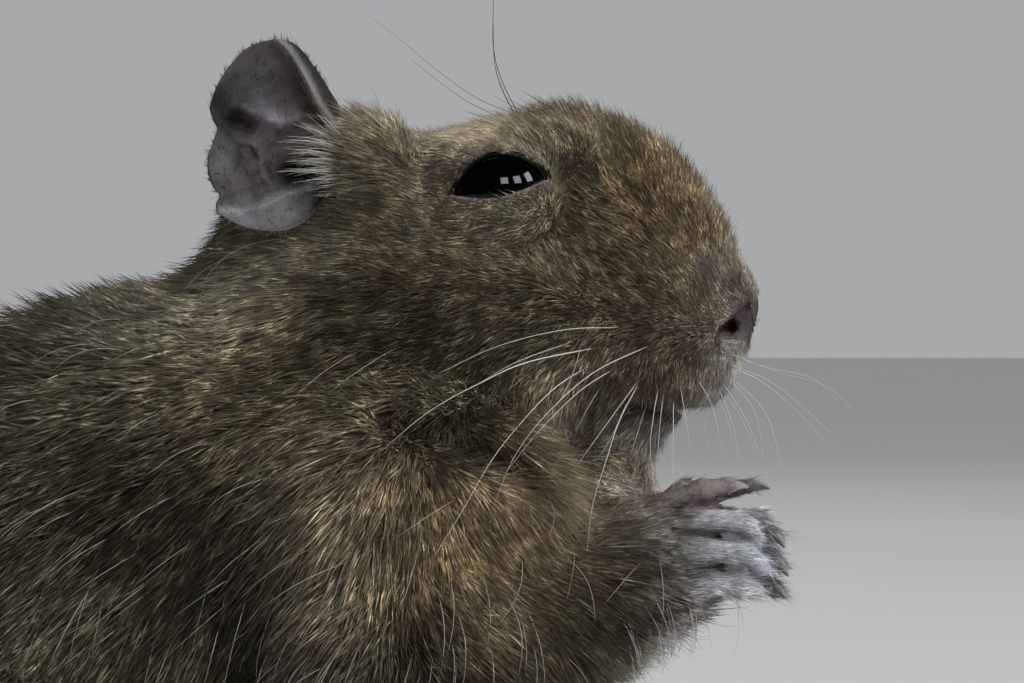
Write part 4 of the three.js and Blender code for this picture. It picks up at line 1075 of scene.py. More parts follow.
def tuft_shapes():
    """Small meshes of a few tapered hairs each, one unit long, which the coat repeats."""
    shapes = bpy.data.collections.new("tuft_shapes")
    draw = np.random.default_rng(TUFT_SEED)
    for number in range(TUFT_KINDS):
        points, faces, strand = [], [], []
        gather, apart = (1.1, 1.7) if number % 3 == 2 else (0.25, 1.05)
        for hair in range(HAIRS_IN_TUFT):
            base = len(points)
            aside = (hair - (HAIRS_IN_TUFT - 1) / 2) * apart + draw.uniform(-0.5, 0.5)
            tip = aside * gather + draw.uniform(-1.5, 1.5)
            start, long, high = draw.uniform(-0.3, 0.25), draw.uniform(0.6, 1.05), draw.uniform(0.4, 1.15)
            wide, tint = draw.uniform(0.4, 0.62), draw.uniform()
            if hair == 0 and number % 6 == 2:
                long, wide, tint = 1.9, 0.34, 1.0
            points += [(start, aside - wide, -0.14), (start, aside + wide, -0.14), (start, aside, -0.02)]
            points.append((start + long, tip, high))
            strand += [tint] * 4
            faces += [tuple(base + k for k in corners) for corners in BLADE_FACES]
        mesh = bpy.data.meshes.new(f"tuft_{number}")
        mesh.from_pydata(points, [], faces)
        layer = mesh.uv_layers.new(name="patch")
        for loop in mesh.loops:
            layer.data[loop.index].uv = BLADE_PATCH[loop.vertex_index % 4]
        along = np.tile((0.0, 0.0, 0.0, 1.0), HAIRS_IN_TUFT)
        for name, values in (("along", along), ("strand", strand)):
            mesh.attributes.new(name, "FLOAT", "POINT").data.foreach_set("value", values)
        shapes.objects.link(bpy.data.objects.new(mesh.name, mesh))
    return shapes


COAT_INPUTS = [
    ("Geometry", "NodeSocketGeometry"),
    ("Density", "NodeSocketFloat"),
    ("Seed", "NodeSocketInt"),
    ("Region", "NodeSocketInt"),
    ("Jitter", "NodeSocketFloat"),
    ("Length", "NodeSocketFloat"),
    ("Patch", "NodeSocketFloat"),
    ("Tufts", "NodeSocketCollection"),
    ("Hair", "NodeSocketMaterial"),
]


def coat_tree():
    """Geometry nodes that set tufts on the skin, each lying the way that the skin says."""
    group = bpy.data.node_groups.new("coat_of_tufts", "GeometryNodeTree")
    for name, kind in COAT_INPUTS:
        group.interface.new_socket(name=name, in_out="INPUT", socket_type=kind)
    group.interface.new_socket(name="Geometry", in_out="OUTPUT", socket_type="NodeSocketGeometry")
    tree = Tree(group)
    given = tree.node("NodeGroupInput").outputs
    match = {"A": tree.named("region", "INT"), "B": given["Region"]}
    here = tree.out("FunctionNodeCompare", match, data_type="INT", operation="EQUAL")
    crowd = tree.math("MULTIPLY", tree.named("crowd"), given["Density"])
    ground = {"Mesh": given["Geometry"], "Selection": here, "Density": crowd, "Seed": given["Seed"]}
    scatter = tree.node("GeometryNodeDistributePointsOnFaces", ground)
    points = scatter.outputs["Points"]

    def store(geometry, name, value, kind="FLOAT", domain="POINT"):
        inputs = {"Geometry": geometry, "Name": name, "Value": value}
        return tree.out("GeometryNodeStoreNamedAttribute", inputs, data_type=kind, domain=domain)

    def draw(low, high, extra, kind="FLOAT"):
        seed = tree.math("ADD", given["Seed"], float(extra))
        return tree.out("FunctionNodeRandomValue", {"Min": low, "Max": high, "Seed": seed}, data_type=kind)

    points = store(points, "root_place", tree.named("OFBake", "FLOAT_VECTOR"), "FLOAT_VECTOR")
    points = tree.out("GeometryNodeRemoveAttribute", {"Geometry": points, "Name": "OFBake"})
    points = store(points, "shade", draw(0.0, 1.0, 3))
    stray = tree.vector("SCALE", draw((-1, -1, -1), (1, 1, 1), 5, "FLOAT_VECTOR"), scale=given["Jitter"])
    way = tree.vector("ADD", tree.named("lie", "FLOAT_VECTOR"), stray)
    axes = {"Primary Axis": way, "Secondary Axis": tree.named("out", "FLOAT_VECTOR")}
    turn = tree.out("FunctionNodeAxesToRotation", axes, primary_axis="X", secondary_axis="Z")
    length = tree.math("MULTIPLY", tree.named("hair"), draw(0.72, 1.16, 7))
    length = tree.math("MULTIPLY", length, given["Length"])
    girth = tree.math("MULTIPLY", tree.named("girth"), draw(0.75, 1.2, 9))
    rise = tree.math("MULTIPLY", tree.named("rise"), draw(0.45, 1.35, 11))
    scale = tree.out("ShaderNodeCombineXYZ", {"X": length, "Y": girth, "Z": rise})
    source = {"Collection": given["Tufts"], "Separate Children": True, "Reset Children": True}
    shapes = tree.out("GeometryNodeCollectionInfo", source)
    kinds = {"Min": 0, "Max": TUFT_KINDS - 1, "Seed": given["Seed"]}
    pick = tree.out("FunctionNodeRandomValue", kinds, data_type="INT")
    planted = {
        "Points": points,
        "Instance": shapes,
        "Pick Instance": True,
        "Instance Index": pick,
        "Rotation": turn,
        "Scale": scale,
    }
    spread = tree.out("GeometryNodeInstanceOnPoints", planted)
    made = tree.out("GeometryNodeRealizeInstances", {"Geometry": spread})
    offset = tree.vector("SUBTRACT", tree.named("patch", "FLOAT_VECTOR"), (0.5, 0.5, 0))
    offset = tree.vector("SCALE", offset, scale=given["Patch"])
    place = tree.vector("ADD", tree.named("root_place", "FLOAT_VECTOR"), offset)
    made = store(made, "OFBake", place, "FLOAT2", "CORNER")
    used = ("lie", "out", "hair", "girth", "rise", "crowd", "region", "bare", "hide", "root_place", "patch")
    for name in used:
        made = tree.out("GeometryNodeRemoveAttribute", {"Geometry": made, "Name": name})
    made = tree.out("GeometryNodeSetMaterial", {"Geometry": made, "Material": given["Hair"]})
    tree.node("NodeGroupOutput", {"Geometry": made})
    return group


def dressed(base, name, inputs):
    """The coat of one region of the base as a plain mesh of its own."""
    group = bpy.data.node_groups.get("coat_of_tufts") or coat_tree()
    modifier = base.modifiers.new("coat", "NODES")
    modifier.node_group = group
    by_name = {item.name: item.identifier for item in group.interface.items_tree if item.in_out == "INPUT"}
    for key, value in inputs.items():
        modifier[by_name[key]] = value
    base.update_tag()
    shown = base.evaluated_get(bpy.context.evaluated_depsgraph_get())
    mesh = bpy.data.meshes.new_from_object(shown)
    base.modifiers.remove(modifier)
    mesh.name = name
    made = bpy.data.objects.new(name, mesh)
    bpy.context.scene.collection.objects.link(made)
    places = np.empty(len(mesh.vertices) * 3)
    mesh.vertices.foreach_get("co", places)
    places = places.reshape(-1, 3)
    places[:, 2] = np.maximum(places[:, 2], 0.00005)
    mesh.vertices.foreach_set("co", places.ravel())
    if not len(mesh.polygons):
        raise RuntimeError(f"no tufts on {name}")
    return made


def unwrapped(made, margin=0.002):
    """A UV map named OFBake over the mesh's own shape."""
    made.data.uv_layers.new(name="OFBake")
    bpy.ops.object.select_all(action="DESELECT")
    made.select_set(True)
    bpy.context.view_layer.objects.active = made
    bpy.ops.object.mode_set(mode="EDIT")
    bpy.ops.mesh.select_all(action="SELECT")
    bpy.ops.uv.smart_project(angle_limit=math.radians(66), island_margin=margin)
    bpy.ops.object.mode_set(mode="OBJECT")


def finished(made, material, slot, *nodes):
    """Gives a piece its material and its place in the frame."""
    if material:
        made.data.materials.clear()
        made.data.materials.append(material)
    if nodes:
        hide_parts(*nodes)
    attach(made, "root")


def tubes(paths, radii, sides=4, flat=1.0):
    """Closed tapered tubes along paths: their points and triangles, and how far along each point is."""
    points, faces, along = [], [], []
    for path, (thick, thin) in zip(paths, radii):
        path = np.asarray(path, float)
        ways = unit(np.gradient(path, axis=0))
        aside = unit(np.cross(ways, (0.13, 0.31, 1.0)))
        over = np.cross(aside, ways)
        base = len(points)
        last = len(path) - 1
        for i in range(last):
            share = i / last
            radius = thick + (thin - thick) * share
            for k in range(sides):
                turn = 2 * math.pi * k / sides
                off = aside[i] * math.cos(turn) * radius + over[i] * math.sin(turn) * radius * flat
                points.append(path[i] + off)
                along.append(share)
        tip, root = len(points), len(points) + 1
        points += [path[-1], path[0]]
        along += [1.0, 0.0]
        for k in range(sides):
            n = (k + 1) % sides
            for i in range(last - 1):
                a, b = base + i * sides + k, base + i * sides + n
                faces += [(a, b, b + sides), (a, b + sides, a + sides)]
            a, b = base + (last - 1) * sides + k, base + (last - 1) * sides + n
            faces += [(a, b, tip), (base + n, base + k, root)]
    return np.array(points), np.array(faces), np.array(along)


def outward_faces(made):
    """Turns all faces outwards."""
    mesh = bmesh.new()
    mesh.from_mesh(made.data)
    bmesh.ops.recalc_face_normals(mesh, faces=mesh.faces)
    mesh.to_mesh(made.data)
    mesh.free()


# Eyes


def eye_piece(name, side, material):
    """A smooth eyeball with a slightly fuller cornea."""
    rings, around = 40, 64
    ahead, up, out = gaze_axes(side)
    points, faces = [], []
    for r in range(rings + 1):
        polar = math.pi * r / rings
        radius = EYE_RADIUS * (1 + 0.02 * math.exp(-((polar / 0.62) ** 2)))
        for s in range(around if 0 < r < rings else 1):
            turn = 2 * math.pi * s / around
            flat = ahead * math.cos(turn) + up * math.sin(turn)
            points.append(across(EYE, side) + radius * (out * math.cos(polar) + flat * math.sin(polar)))
    ring = lambda r, s: 0 if r == 0 else len(points) - 1 if r == rings else 1 + (r - 1) * around + s % around
    for r in range(rings):
        for s in range(around):
            quad = [ring(r, s), ring(r + 1, s), ring(r + 1, s + 1), ring(r, s + 1)]
            if r > 0:
                faces.append((quad[0], quad[2], quad[3]))
            if r < rings - 1:
                faces.append((quad[0], quad[1], quad[2]))
    made = mesh_object(name, points, faces)
    outward_faces(made)
    finished(made, material, "eye", f"eye_{'left' if side > 0 else 'right'}")
    return made


def eye_material():
    material, tree, principled = new_material("wet_eye", {"Roughness": 0.04, "IOR": 1.33})
    place = object_place(tree)
    streaks = tree.noise(place, 900.0, 3.0)
    iris = tree.mix(streaks, (0.0005, 0.0004, 0.0005), (0.0014, 0.0011, 0.0012))
    tree.tree.links.new(iris, principled.inputs["Base Color"])
    return material


LID_THICK = 0.19


def lid_piece(name, side, material):
    """The edge of both lids as one closed ring that lies on the eye, with the duct at its front corner."""
    ahead, up, out = gaze_axes(side)
    half = OPENING["length"] / 2
    turns = np.linspace(0, 2 * math.pi, 121)[:-1]
    shares = np.cos(turns)
    upper, lower = lid_edge(shares)
    heights = np.where(np.sin(turns) >= 0, upper + 0.12, lower - 0.1)
    duct = np.exp(-(((shares - 1) / 0.12) ** 2))
    a = half * shares * (1 + 0.035 * duct)
    middle = []
    for x, y in zip(a, heights):
        radius = EYE_RADIUS + 0.16
        depth = math.sqrt(max(radius**2 - x * x - y * y, 0.3))
        middle.append(across(EYE, side) + ahead * x + up * y + out * depth)
    middle = np.array(middle)
    ways = unit(np.roll(middle, -1, 0) - np.roll(middle, 1, 0))
    level = unit(middle - across(EYE, side))
    away = np.cross(ways, level)
    sides = 10
    points, faces, rim = [], [], []
    for i in range(len(middle)):
        wide = LID_THICK * (1.15 if math.sin(turns[i]) > 0 else 0.85) * (1 + 0.8 * duct[i])
        for k in range(sides):
            turn = 2 * math.pi * k / sides
            place = middle[i] + away[i] * math.cos(turn) * wide
            points.append(place + level[i] * math.sin(turn) * LID_THICK * 0.8)
            rim.append(1.0 if math.sin(turns[i]) < 0 else 0.0)
    count = len(middle)
    for i in range(count):
        for k in range(sides):
            a, b = i * sides + k, i * sides + (k + 1) % sides
            c, d = ((i + 1) % count) * sides + (k + 1) % sides, ((i + 1) % count) * sides + k
            faces.append((a, b, c, d))
    made = mesh_object(name, points, faces)
    give(made, "lower", "FLOAT", rim)
    outward_faces(made)
    unwrapped(made)
    finished(made, material, "coat")
    return made


def lid_material():
    material, tree, principled = new_material("lid_edge", {"Roughness": 0.6})
    principled.inputs["Specular IOR Level"].default_value = 0.1
    place = object_place(tree)
    grain = tree.noise(place, 2200.0, 2.0)
    dark = tree.mix(grain, srgb(5, 4, 5), srgb(10, 9, 9))
    pale = tree.mix(grain, srgb(112, 106, 100), srgb(150, 144, 138))
    tree.tree.links.new(tree.mix(tree.read("lower"), dark, pale), principled.inputs["Base Color"])
    bumped(tree, principled, grain, 0.00008)
    return material


# Ears

EAR_RIM = [
    (0.6, 8.6), (-2, 7.9), (-4, 5.4), (-5, 2.9), (-4.85, 1.7), (-4.45, 0.85), (-4.65, -0.1), (-5.15, -1.7),
    (-5.05, -3.3), (-4.55, -4.4), (-4.15, -4.85), (-4.45, -5.7), (-4.2, -6.5), (-3.2, -7.1), (-1.6, -7.7),
    (0.4, -7.85), (1.9, -7.5), (3.4, -6.2), (5.0, -3.6), (5.6, -1.2), (5.4, 2.6), (3.8, 5.6), (2.2, 7.9),
]
EAR_LEAN = (0.6, 0.2)
EAR_BOTTOM = (1.2, -2.6)
EAR_DEPTH = 3.4
EAR_THICK = 0.62
EAR_FRONT = [
    (0.4, 8.5), (1.1, 7.8), (2.05, 6.35), (2.9, 4.8), (3.6, 3.2), (4.5, 2.0), (5.2, 1.0), (6.3, -0.7),
]
EAR_MIDDLE_FOLD = [(-2.4, 2.5), (-0.8, 1.9), (0.3, 1.5), (1.6, 1.9)]
EAR_LOW_RIDGE = [
    (-4.3, -6.2), (-2.7, -6.2), (-1.5, -5.8), (-0.3, -5.2), (0.7, -4.6), (1.6, -4.2), (2.8, -3.9),
]
EAR_FORK = [(-1.7, -0.45), (-1.2, -1.4), (-1.1, -2.65), (-0.5, -3.6)]
EAR_CREASES = [
    [(-2.1, -0.7), (-1.5, -1.7)],
    [(-0.85, -2.1), (-0.3, -3.3)],
    [(-3.7, 0.4), (-2.9, -0.8), (-3.1, -2.6)],
]


def ridge(at, line, wide):
    return np.exp(-((near_line(at, line) / wide) ** 2))


def hollow(at, centre, wide):
    return np.exp(-(((at - np.array(centre)) ** 2).sum(1)) / wide**2)


def past_line(at, line, axis):
    """How far places lie past a line, measured along the x axis (0) or down the z axis (1)."""
    along = np.array(sorted(line, key=lambda place: place[1 - axis]))
    edge = np.interp(at[:, 1 - axis], along[:, 1 - axis], along[:, axis])
    return at[:, 0] - edge if axis == 0 else edge - at[:, 1]


def ear_relief(at, share):
    """How far the ear's inner face stands outwards, at places across it."""
    height = EAR_DEPTH * (share**2 - 1)
    height += 1.4 * ridge(at, EAR_MIDDLE_FOLD, 0.8) * (1 - share**6)
    height += 1.0 * ridge(at, EAR_FRONT, 0.36 + 0.36 * (1 - smoothstep(1.5, 6.5, at[:, 1])))
    height -= 1.6 * smoothstep(0.1, 2.0, past_line(at, EAR_FRONT, 0)) * smoothstep(-3, 0, at[:, 1])
    flap = smoothstep(-0.15, 0.25, past_line(at, EAR_LOW_RIDGE, 1)) * (1 - smoothstep(2.4, 4.2, at[:, 0]))
    height += (0.65 * flap + 0.7 * ridge(at, EAR_LOW_RIDGE, 0.42)) * (1 - smoothstep(0.6, 0.97, share))
    height += 0.5 * ridge(at, EAR_FORK, 0.4)
    for crease in EAR_CREASES:
        height -= 0.4 * ridge(at, crease, 0.28)
    height -= 1.4 * hollow(at, (-3.4, 1.4), 0.9) + 0.8 * hollow(at, (-2.2, 0.95), 0.6)
    height -= 2.4 * hollow(at, (1.4, -2.95), 1.0) + 1.0 * hollow(at, (0.5, -2.8), 0.6)
    height -= 0.5 * hollow(at, (-0.2, -1.4), 1.0) + 0.5 * hollow(at, (-1.9, -4.2), 1.2)
    height += 0.8 * share**4 * np.exp(-(((at[:, 0] + 5) / 2) ** 2))
    for wave, phase in EAR_WRINKLES:
        height += 0.045 * np.sin(at @ wave + phase) * (1 - share**8)
    return height


EAR_WRINKLES = [
    (RANDOM.normal(size=2) * 2 * math.pi / size, RANDOM.uniform(0, 6)) for size in (4, 3, 3, 2.4, 2, 1.8)
]
# Tones of the ear's inner face: where, how wide, the colour and its strength. Besides the ear's own greys and
# pinks they hold painted shade in the cup, under the rear rim, in the canal and in the gap by the head, and a
# painted highlight on the middle fold.
EAR_TONES_AND_PAINTED_LIGHT = [
    # upper cup, darker towards its front: partly its own grey, partly painted shade in the cup
    ((-2.1, 5.0), 2.6, srgb(66, 62, 62), 0.9),
    ((1.9, 4.6), 1.8, srgb(52, 42, 40), 0.95),
    ((2.5, 2.4), 1.0, srgb(44, 35, 34), 0.85),
    ((-0.3, 7.6), 1.2, srgb(76, 74, 70), 0.8),
    # painted shadow under the folded rear rim and in the pocket above the notch
    ((-4.7, 3.2), 1.5, srgb(20, 21, 19), 1.0),
    ((-3.6, 1.5), 1.1, srgb(20, 19, 18), 1.0),
    ((-2.4, 1.0), 0.7, srgb(26, 23, 22), 0.9),
    # the middle fold: partly its own pale grey, partly a painted highlight on the ridge
    ((-1.4, 2.3), 1.0, srgb(104, 100, 104), 0.85),
    ((0.1, 1.5), 1.1, srgb(134, 127, 137), 0.95),
    ((1.5, 1.9), 0.8, srgb(108, 101, 107), 0.8),
    ((0.7, 0.0), 1.1, srgb(88, 71, 70), 0.85),
    ((-0.4, -1.6), 1.1, srgb(84, 70, 70), 0.7),
    ((-4.2, -1.9), 1.3, srgb(104, 103, 103), 0.95),
    ((-2.8, -1.6), 0.9, srgb(58, 46, 45), 0.85),
    # painted shadow above the lowest flap
    ((-1.9, -4.2), 1.5, srgb(78, 71, 75), 0.85),
    # painted shade: the black of the canal opening
    ((1.2, -3.0), 0.8, srgb(8, 6, 6), 1.0),
    ((2.6, -3.2), 1.0, srgb(8, 6, 6), 1.0),
    ((-2.2, -6.7), 1.7, srgb(112, 114, 114), 0.9),
    ((0.9, -6.2), 1.8, srgb(112, 111, 112), 0.9),
    # painted shadow in the gap between the lowest lobe and the head
    ((4.2, -5.2), 1.4, srgb(12, 10, 9), 1.0),
]
# Lines on the inner face: pale ridges, partly their own colour and partly painted highlight, and dark creases
# as painted shade.
EAR_RIDGE_HIGHLIGHTS_AND_CREASE_SHADE = [
    (EAR_FRONT, 0.42, srgb(148, 143, 139), 0.9),
    (EAR_LOW_RIDGE, 0.35, srgb(146, 144, 147), 0.8),
    (EAR_FORK, 0.35, srgb(104, 95, 95), 0.5),
    *[(crease, 0.2, srgb(36, 28, 28), 0.6) for crease in EAR_CREASES],
]
TUFTS_ON_EAR = 1600


def ear_piece(name, side, material):
    """The ear cup with its folds and rolled front rim, as a closed shell."""
    around, rings = 168, 40
    rim = spline([(x, z) for x, z in EAR_RIM], np.linspace(0, 1, 1201)[:-1], closed=True)
    steps = np.linalg.norm(np.roll(rim, -1, 0) - rim, axis=1)
    marks = np.concatenate([[0], np.cumsum(steps)])
    picked = np.searchsorted(marks, np.linspace(0, marks[-1], around, endpoint=False))
    rim = rim[np.minimum(picked, len(rim) - 1)]
    shares = np.repeat(np.arange(1, rings + 1) / rings, around)
    at = np.array(EAR_BOTTOM) + shares[:, None] * (np.tile(rim, (rings, 1)) - EAR_BOTTOM)
    at, shares = np.vstack([[EAR_BOTTOM], at]), np.concatenate([[0.0], shares])
    edge = np.tile(np.sin(np.arange(around) * 2 * math.pi * 9 / around), rings)
    level = ear_relief(at, shares) - EAR_LEAN[0] * at[:, 0] - EAR_LEAN[1] * at[:, 1]
    level[1:] += 0.06 * edge * shares[1:] ** 6
    middle = np.stack([at[:, 0], level, at[:, 1]], -1) + EAR_PLACE
    thick = EAR_THICK * (0.5 - 0.28 * shares**4)[:, None] * unit((EAR_LEAN[0], 1, EAR_LEAN[1]))
    points = np.vstack([middle + thick, middle - thick]) * (1, side, 1)
    layer = 1 + rings * around
    where = lambda face, r, s: face * layer + (1 + (r - 1) * around + s % around if r else 0)
    faces = []
    for s in range(around):
        for face, r in product((0, 1), range(rings)):
            a, b = where(face, r, s), where(face, r + 1, s)
            c, d = where(face, r + 1, s + 1), where(face, r, s + 1)
            corners = [(a, b, c)] + ([(a, c, d)] if r else [])
            faces += corners if face else [corner[::-1] for corner in corners]
        a, b = where(0, rings, s), where(0, rings, s + 1)
        c, d = where(1, rings, s), where(1, rings, s + 1)
        faces += [(a, b, d), (a, d, c)]
    made = mesh_object(name, points, faces)
    outward_faces(made)
    # the ear's own tones, with painted shade and painted highlights from the two tables above blended in
    tone = np.tile(np.array(srgb(74, 67, 69)), (layer, 1))
    for centre, wide, colour, strength in EAR_TONES_AND_PAINTED_LIGHT:
        share = strength * hollow(at, centre, wide)
        tone += share[:, None] * (np.array(colour) - tone)
    for line, wide, colour, strength in EAR_RIDGE_HIGHLIGHTS_AND_CREASE_SHADE:
        tone += (strength * ridge(at, line, wide))[:, None] * (np.array(colour) - tone)
    dark = np.array(srgb(40, 38, 36))
    back = np.tile(np.array(srgb(92, 84, 78)), (layer, 1)) * (1.1 - 0.35 * shares[:, None] ** 3)
    beyond = smoothstep(0.35, 1.0, past_line(at, EAR_FRONT, 0)) * smoothstep(0.5, 2.5, at[:, 1])
    tone += beyond[:, None] * (dark - tone)
    give(made, "tone", "FLOAT_VECTOR", np.vstack([tone, back]))
    unwrapped(made)
    finished(made, material, "ear", f"ear_{'left' if side > 0 else 'right'}")
    middle_place = np.array((EAR_BOTTOM[0], 0, EAR_BOTTOM[1])) + EAR_PLACE
    ear_down_values(made, points, (points - middle_place * (1, side, 1)) * (1, 0.2, 1))
    return made


def ear_down_values(made, points, ways):
    """What the coat's nodes read, on an ear: short down that lies towards the rim."""
    out = np.empty(3 * len(points))
    made.data.vertex_normals.foreach_get("vector", out)
    out = out.reshape(-1, 3)
    lie = ways - (ways * out).sum(1, keepdims=True) * out
    area = sum(face.area for face in made.data.polygons)
    give(made, "lie", "FLOAT_VECTOR", unit(lie + 1e-6))
    give(made, "out", "FLOAT_VECTOR", out)
    give(made, "region", "INT", np.zeros(len(made.data.polygons)), "FACE")
    inner = np.arange(len(points)) < len(points) / 2
    give(made, "crowd", "FLOAT", np.where(inner, 0.6, 1.4) * TUFTS_ON_EAR / area)
    give(made, "hair", "FLOAT", np.where(inner, 0.6, 0.85) * MM)
    for name, value in (("plain", 1.0), ("rise", 0.16 * MM), ("girth", 0.05 * MM)):
        give(made, name, "FLOAT", np.full(len(points), value))


def ear_material():
    material, tree, principled = new_material("ear_skin", {"Roughness": 0.7})
    principled.inputs["Specular IOR Level"].default_value = 0.3
    principled.inputs["Subsurface Weight"].default_value = 0.12
    principled.inputs["Subsurface Radius"].default_value = (0.0012, 0.0005, 0.0004)
    principled.inputs["Subsurface Scale"].default_value = 1.0
    place = object_place(tree)
    down = tree.noise(place, 3200.0, 2.0)
    mottle = tree.ramp(tree.noise(place, 330.0, 5.0, 0.65), [(0.35, 0.45), (0.5, 0.9), (0.62, 1.0)])
    tone = tree.mix(0.75, tree.read("tone", "Color"), mottle, "MULTIPLY")
    colour = tree.mix(tree.math("MULTIPLY", down, 0.4), tone, srgb(34, 30, 30))
    tree.tree.links.new(colour, principled.inputs["Base Color"])
    bumped(tree, principled, tree.math("ADD", down, tree.noise(place, 700.0, 3.0)), 0.00012, 0.5)
    return material


# White wisps by the ear: where each grows and ends, from the ear's middle, how far it bows up and its hairs
EAR_WISPS = [
    ((6.3, -0.2), (3.6, 2.4), 0.1, 8),
    ((6.4, -0.8), (2.1, 1.4), 0.3, 12),
    ((6.7, -1.3), (1.6, -0.1), 0.45, 16),
    ((6.8, -1.8), (1.6, -1.0), 0.4, 16),
    ((6.9, -2.3), (1.5, -2.0), 0.35, 16),
    ((6.9, -2.8), (1.9, -2.9), 0.25, 16),
    ((6.9, -3.3), (2.8, -3.7), 0.2, 13),
    ((6.8, -3.8), (3.4, -4.3), 0.1, 7),
    ((6.7, -4.4), (3.8, -4.9), 0.0, 5),
]


def ear_tuft_paths(side, draw):
    """White hairs in wisps that grow in front of the ear's opening and lie back across it."""
    paths, radii = [], []
    shares = np.linspace(0, 1, 9)
    for root, tip, bow, hairs in EAR_WISPS:
        lift = draw.uniform(-0.3, 0.3)
        for _ in range(hairs):
            start = np.array(root) + draw.normal(size=2) * (0.3, 0.3)
            end = np.array(tip) + draw.normal(size=2) * (0.75, 0.17)
            seen = start + (end - start) * shares[:, None]
            seen[:, 1] += (bow + draw.uniform(-0.12, 0.12)) * np.sin(shares * math.pi)
            level = -EAR_LEAN[0] * seen[:, 0] + 0.4 + lift + 1.3 * np.sin(shares * math.pi * 0.85)
            level += draw.uniform(-0.25, 0.35) - 1.4 * (1 - shares)
            path = np.stack([seen[:, 0], level, seen[:, 1]], -1)
            paths.append((path + EAR_PLACE) * (1, side, 1))
            radii.append((draw.uniform(0.035, 0.075), 0.01))
    return paths, radii


def pale_hair_material(name="white_hair", dim=1.0):
    material, tree, principled = new_material(name, {"Roughness": 0.45})
    along = tree.read("along")
    grain = tree.noise(object_place(tree), 800.0)
    pale = tree.mix(grain, srgb(214, 208, 196), srgb(240, 237, 230))
    colour = tree.mix(tree.ramp(along, [(0.0, 0.55), (0.12, 1.0)]), srgb(110, 98, 84), pale)
    colour = tree.vector("SCALE", colour, scale=dim)
    tree.tree.links.new(colour, principled.inputs["Base Color"])
    return material


def dark_hair_material():
    material, tree, principled = new_material("dark_hair", {"Roughness": 0.35})
    grain = tree.noise(object_place(tree), 800.0)
    tree.tree.links.new(tree.mix(grain, srgb(22, 18, 17), srgb(46, 38, 34)), principled.inputs["Base Color"])
    return material


# Whiskers as seen from the side: places as (x, z) from the root to the tip, and the root's radius.
WHISKERS = [
    ([(8.6, 74.1), (1.5, 72.7), (-2.7, 70.9), (-7, 68.5), (-11.3, 64.9)], 0.066),
    ([(6.4, 74.8), (0.7, 72.8), (-2.6, 71)], 0.04),
    ([(7.3, 72.7), (3.7, 70.5), (0.7, 67.5), (-1.7, 64.5), (-4, 60.6), (-6.6, 56.4)], 0.056),
    ([(9.2, 72.3), (5.8, 70.2), (2.4, 67), (-0.6, 63.4)], 0.052),
    ([(8.4, 71.5), (6.8, 69.2), (5.4, 66.6)], 0.036),
    ([(11.5, 71.8), (9, 68.5), (6.8, 65.5), (4.6, 62.5)], 0.052),
    ([(11.1, 71.1), (9.2, 67.6), (8, 64.2), (6.8, 60.4), (6.3, 56.4)], 0.054),
    ([(10.3, 70), (8.8, 66.6), (7.6, 64.5)], 0.038),
    ([(11.8, 69.4), (10.9, 66.6), (10.2, 64.5)], 0.036),
    ([(12.8, 71.1), (12.2, 68.1), (11.9, 64.9), (12.4, 60.8)], 0.05),
    ([(13.2, 70.5), (12.8, 67.6), (12.4, 62.5)], 0.044),
    ([(14, 70), (13.9, 65.9), (13.9, 61.2)], 0.048),
    ([(14.4, 71.3), (15, 67.6), (15.3, 65.1)], 0.038),
    ([(15.4, 71.9), (17.1, 69.2), (18.4, 64.2)], 0.042),
    ([(18, 70.4), (19.2, 67), (19.7, 63.8)], 0.036),
    ([(18.2, 71), (20.3, 67.6), (21.6, 64.2)], 0.04),
    ([(18.6, 71.7), (21.6, 68.8), (22.7, 66.2), (23.3, 63.2)], 0.042),
    ([(18.8, 72.4), (22.1, 71.1), (25, 68.9), (28.2, 65.8)], 0.044),
    ([(18.8, 73.4), (22.9, 71.8), (27.2, 70.5), (29.7, 68.1)], 0.032),
    ([(9.8, 75.6), (4.5, 75.4), (-1.2, 74), (-6.4, 71.6)], 0.042),
    ([(12.2, 74.2), (7, 71.8), (3, 68.4), (0.2, 64.8), (-1.6, 60.6)], 0.048),
]
WHISKER_SPREAD = 0.36
BROW_HAIRS = [
    ((0.3, 6, 94.6), (-2.6, 9, 106), (-0.7, 0.2, 0)),
    ((-0.6, 6.6, 94.4), (-12, 12, 101.5), (0.4, 0, -0.8)),
]


def skin_side(x, z, reach=14.0):
    """How far to the side the skin lies at a place seen from the side."""
    levels = np.arange(0.5, reach, 0.125)
    value = skin_field(np.stack([np.full(len(levels), x), levels, np.full(len(levels), z)], -1))
    return levels[np.argmax(value > 0)]


def whisker_paths(side, draw):
    """Whiskers that fan from the pad: the rear ones sweep back, and the front ones hang and point ahead."""
    paths, radii = [], []
    for line, thick in WHISKERS:
        seen = spline(line, np.linspace(0, 1, 6 * len(line)))
        reach = np.concatenate([[0], np.cumsum(np.linalg.norm(np.diff(seen, axis=0), axis=1))])
        spread = WHISKER_SPREAD * draw.uniform(0.7, 1.25)
        root = skin_side(*line[0]) - 0.5
        fan = reach * (1 - 0.3 * reach / reach[-1])
        for i in range(8, len(seen), 3):
            spread = max(spread, (skin_side(*seen[i], 34) + 2.4 - root) / fan[i])
        level = root + spread * fan
        if side > 0:
            seen += reach[:, None] * draw.uniform(-0.08, 0.08, 2)
        paths.append(np.stack([seen[:, 0], level * side, seen[:, 1]], -1))
        radii.append((thick, 0.01))
    return paths, radii


# Long pale guard hairs: where they are thick, how wide, how many, their least and most length and the way
# that they hang
GUARDS = [
    ((-12, 20, 50), (16, 14, 7), 70, (6, 10), (-0.3, 0.2, -0.9)),
    ((-50, 20, 55), (34, 24, 26), 150, (6, 9), (-0.8, 0.1, -0.5)),
    ((10.5, 9, 49.2), (4.2, 6, 2.4), 200, (3, 5.5), (0.35, 0.05, -0.93)),
    ((-30, 28, 24), (20, 12, 14), 50, (4, 6.5), (-0.3, 0.2, -0.9)),
]


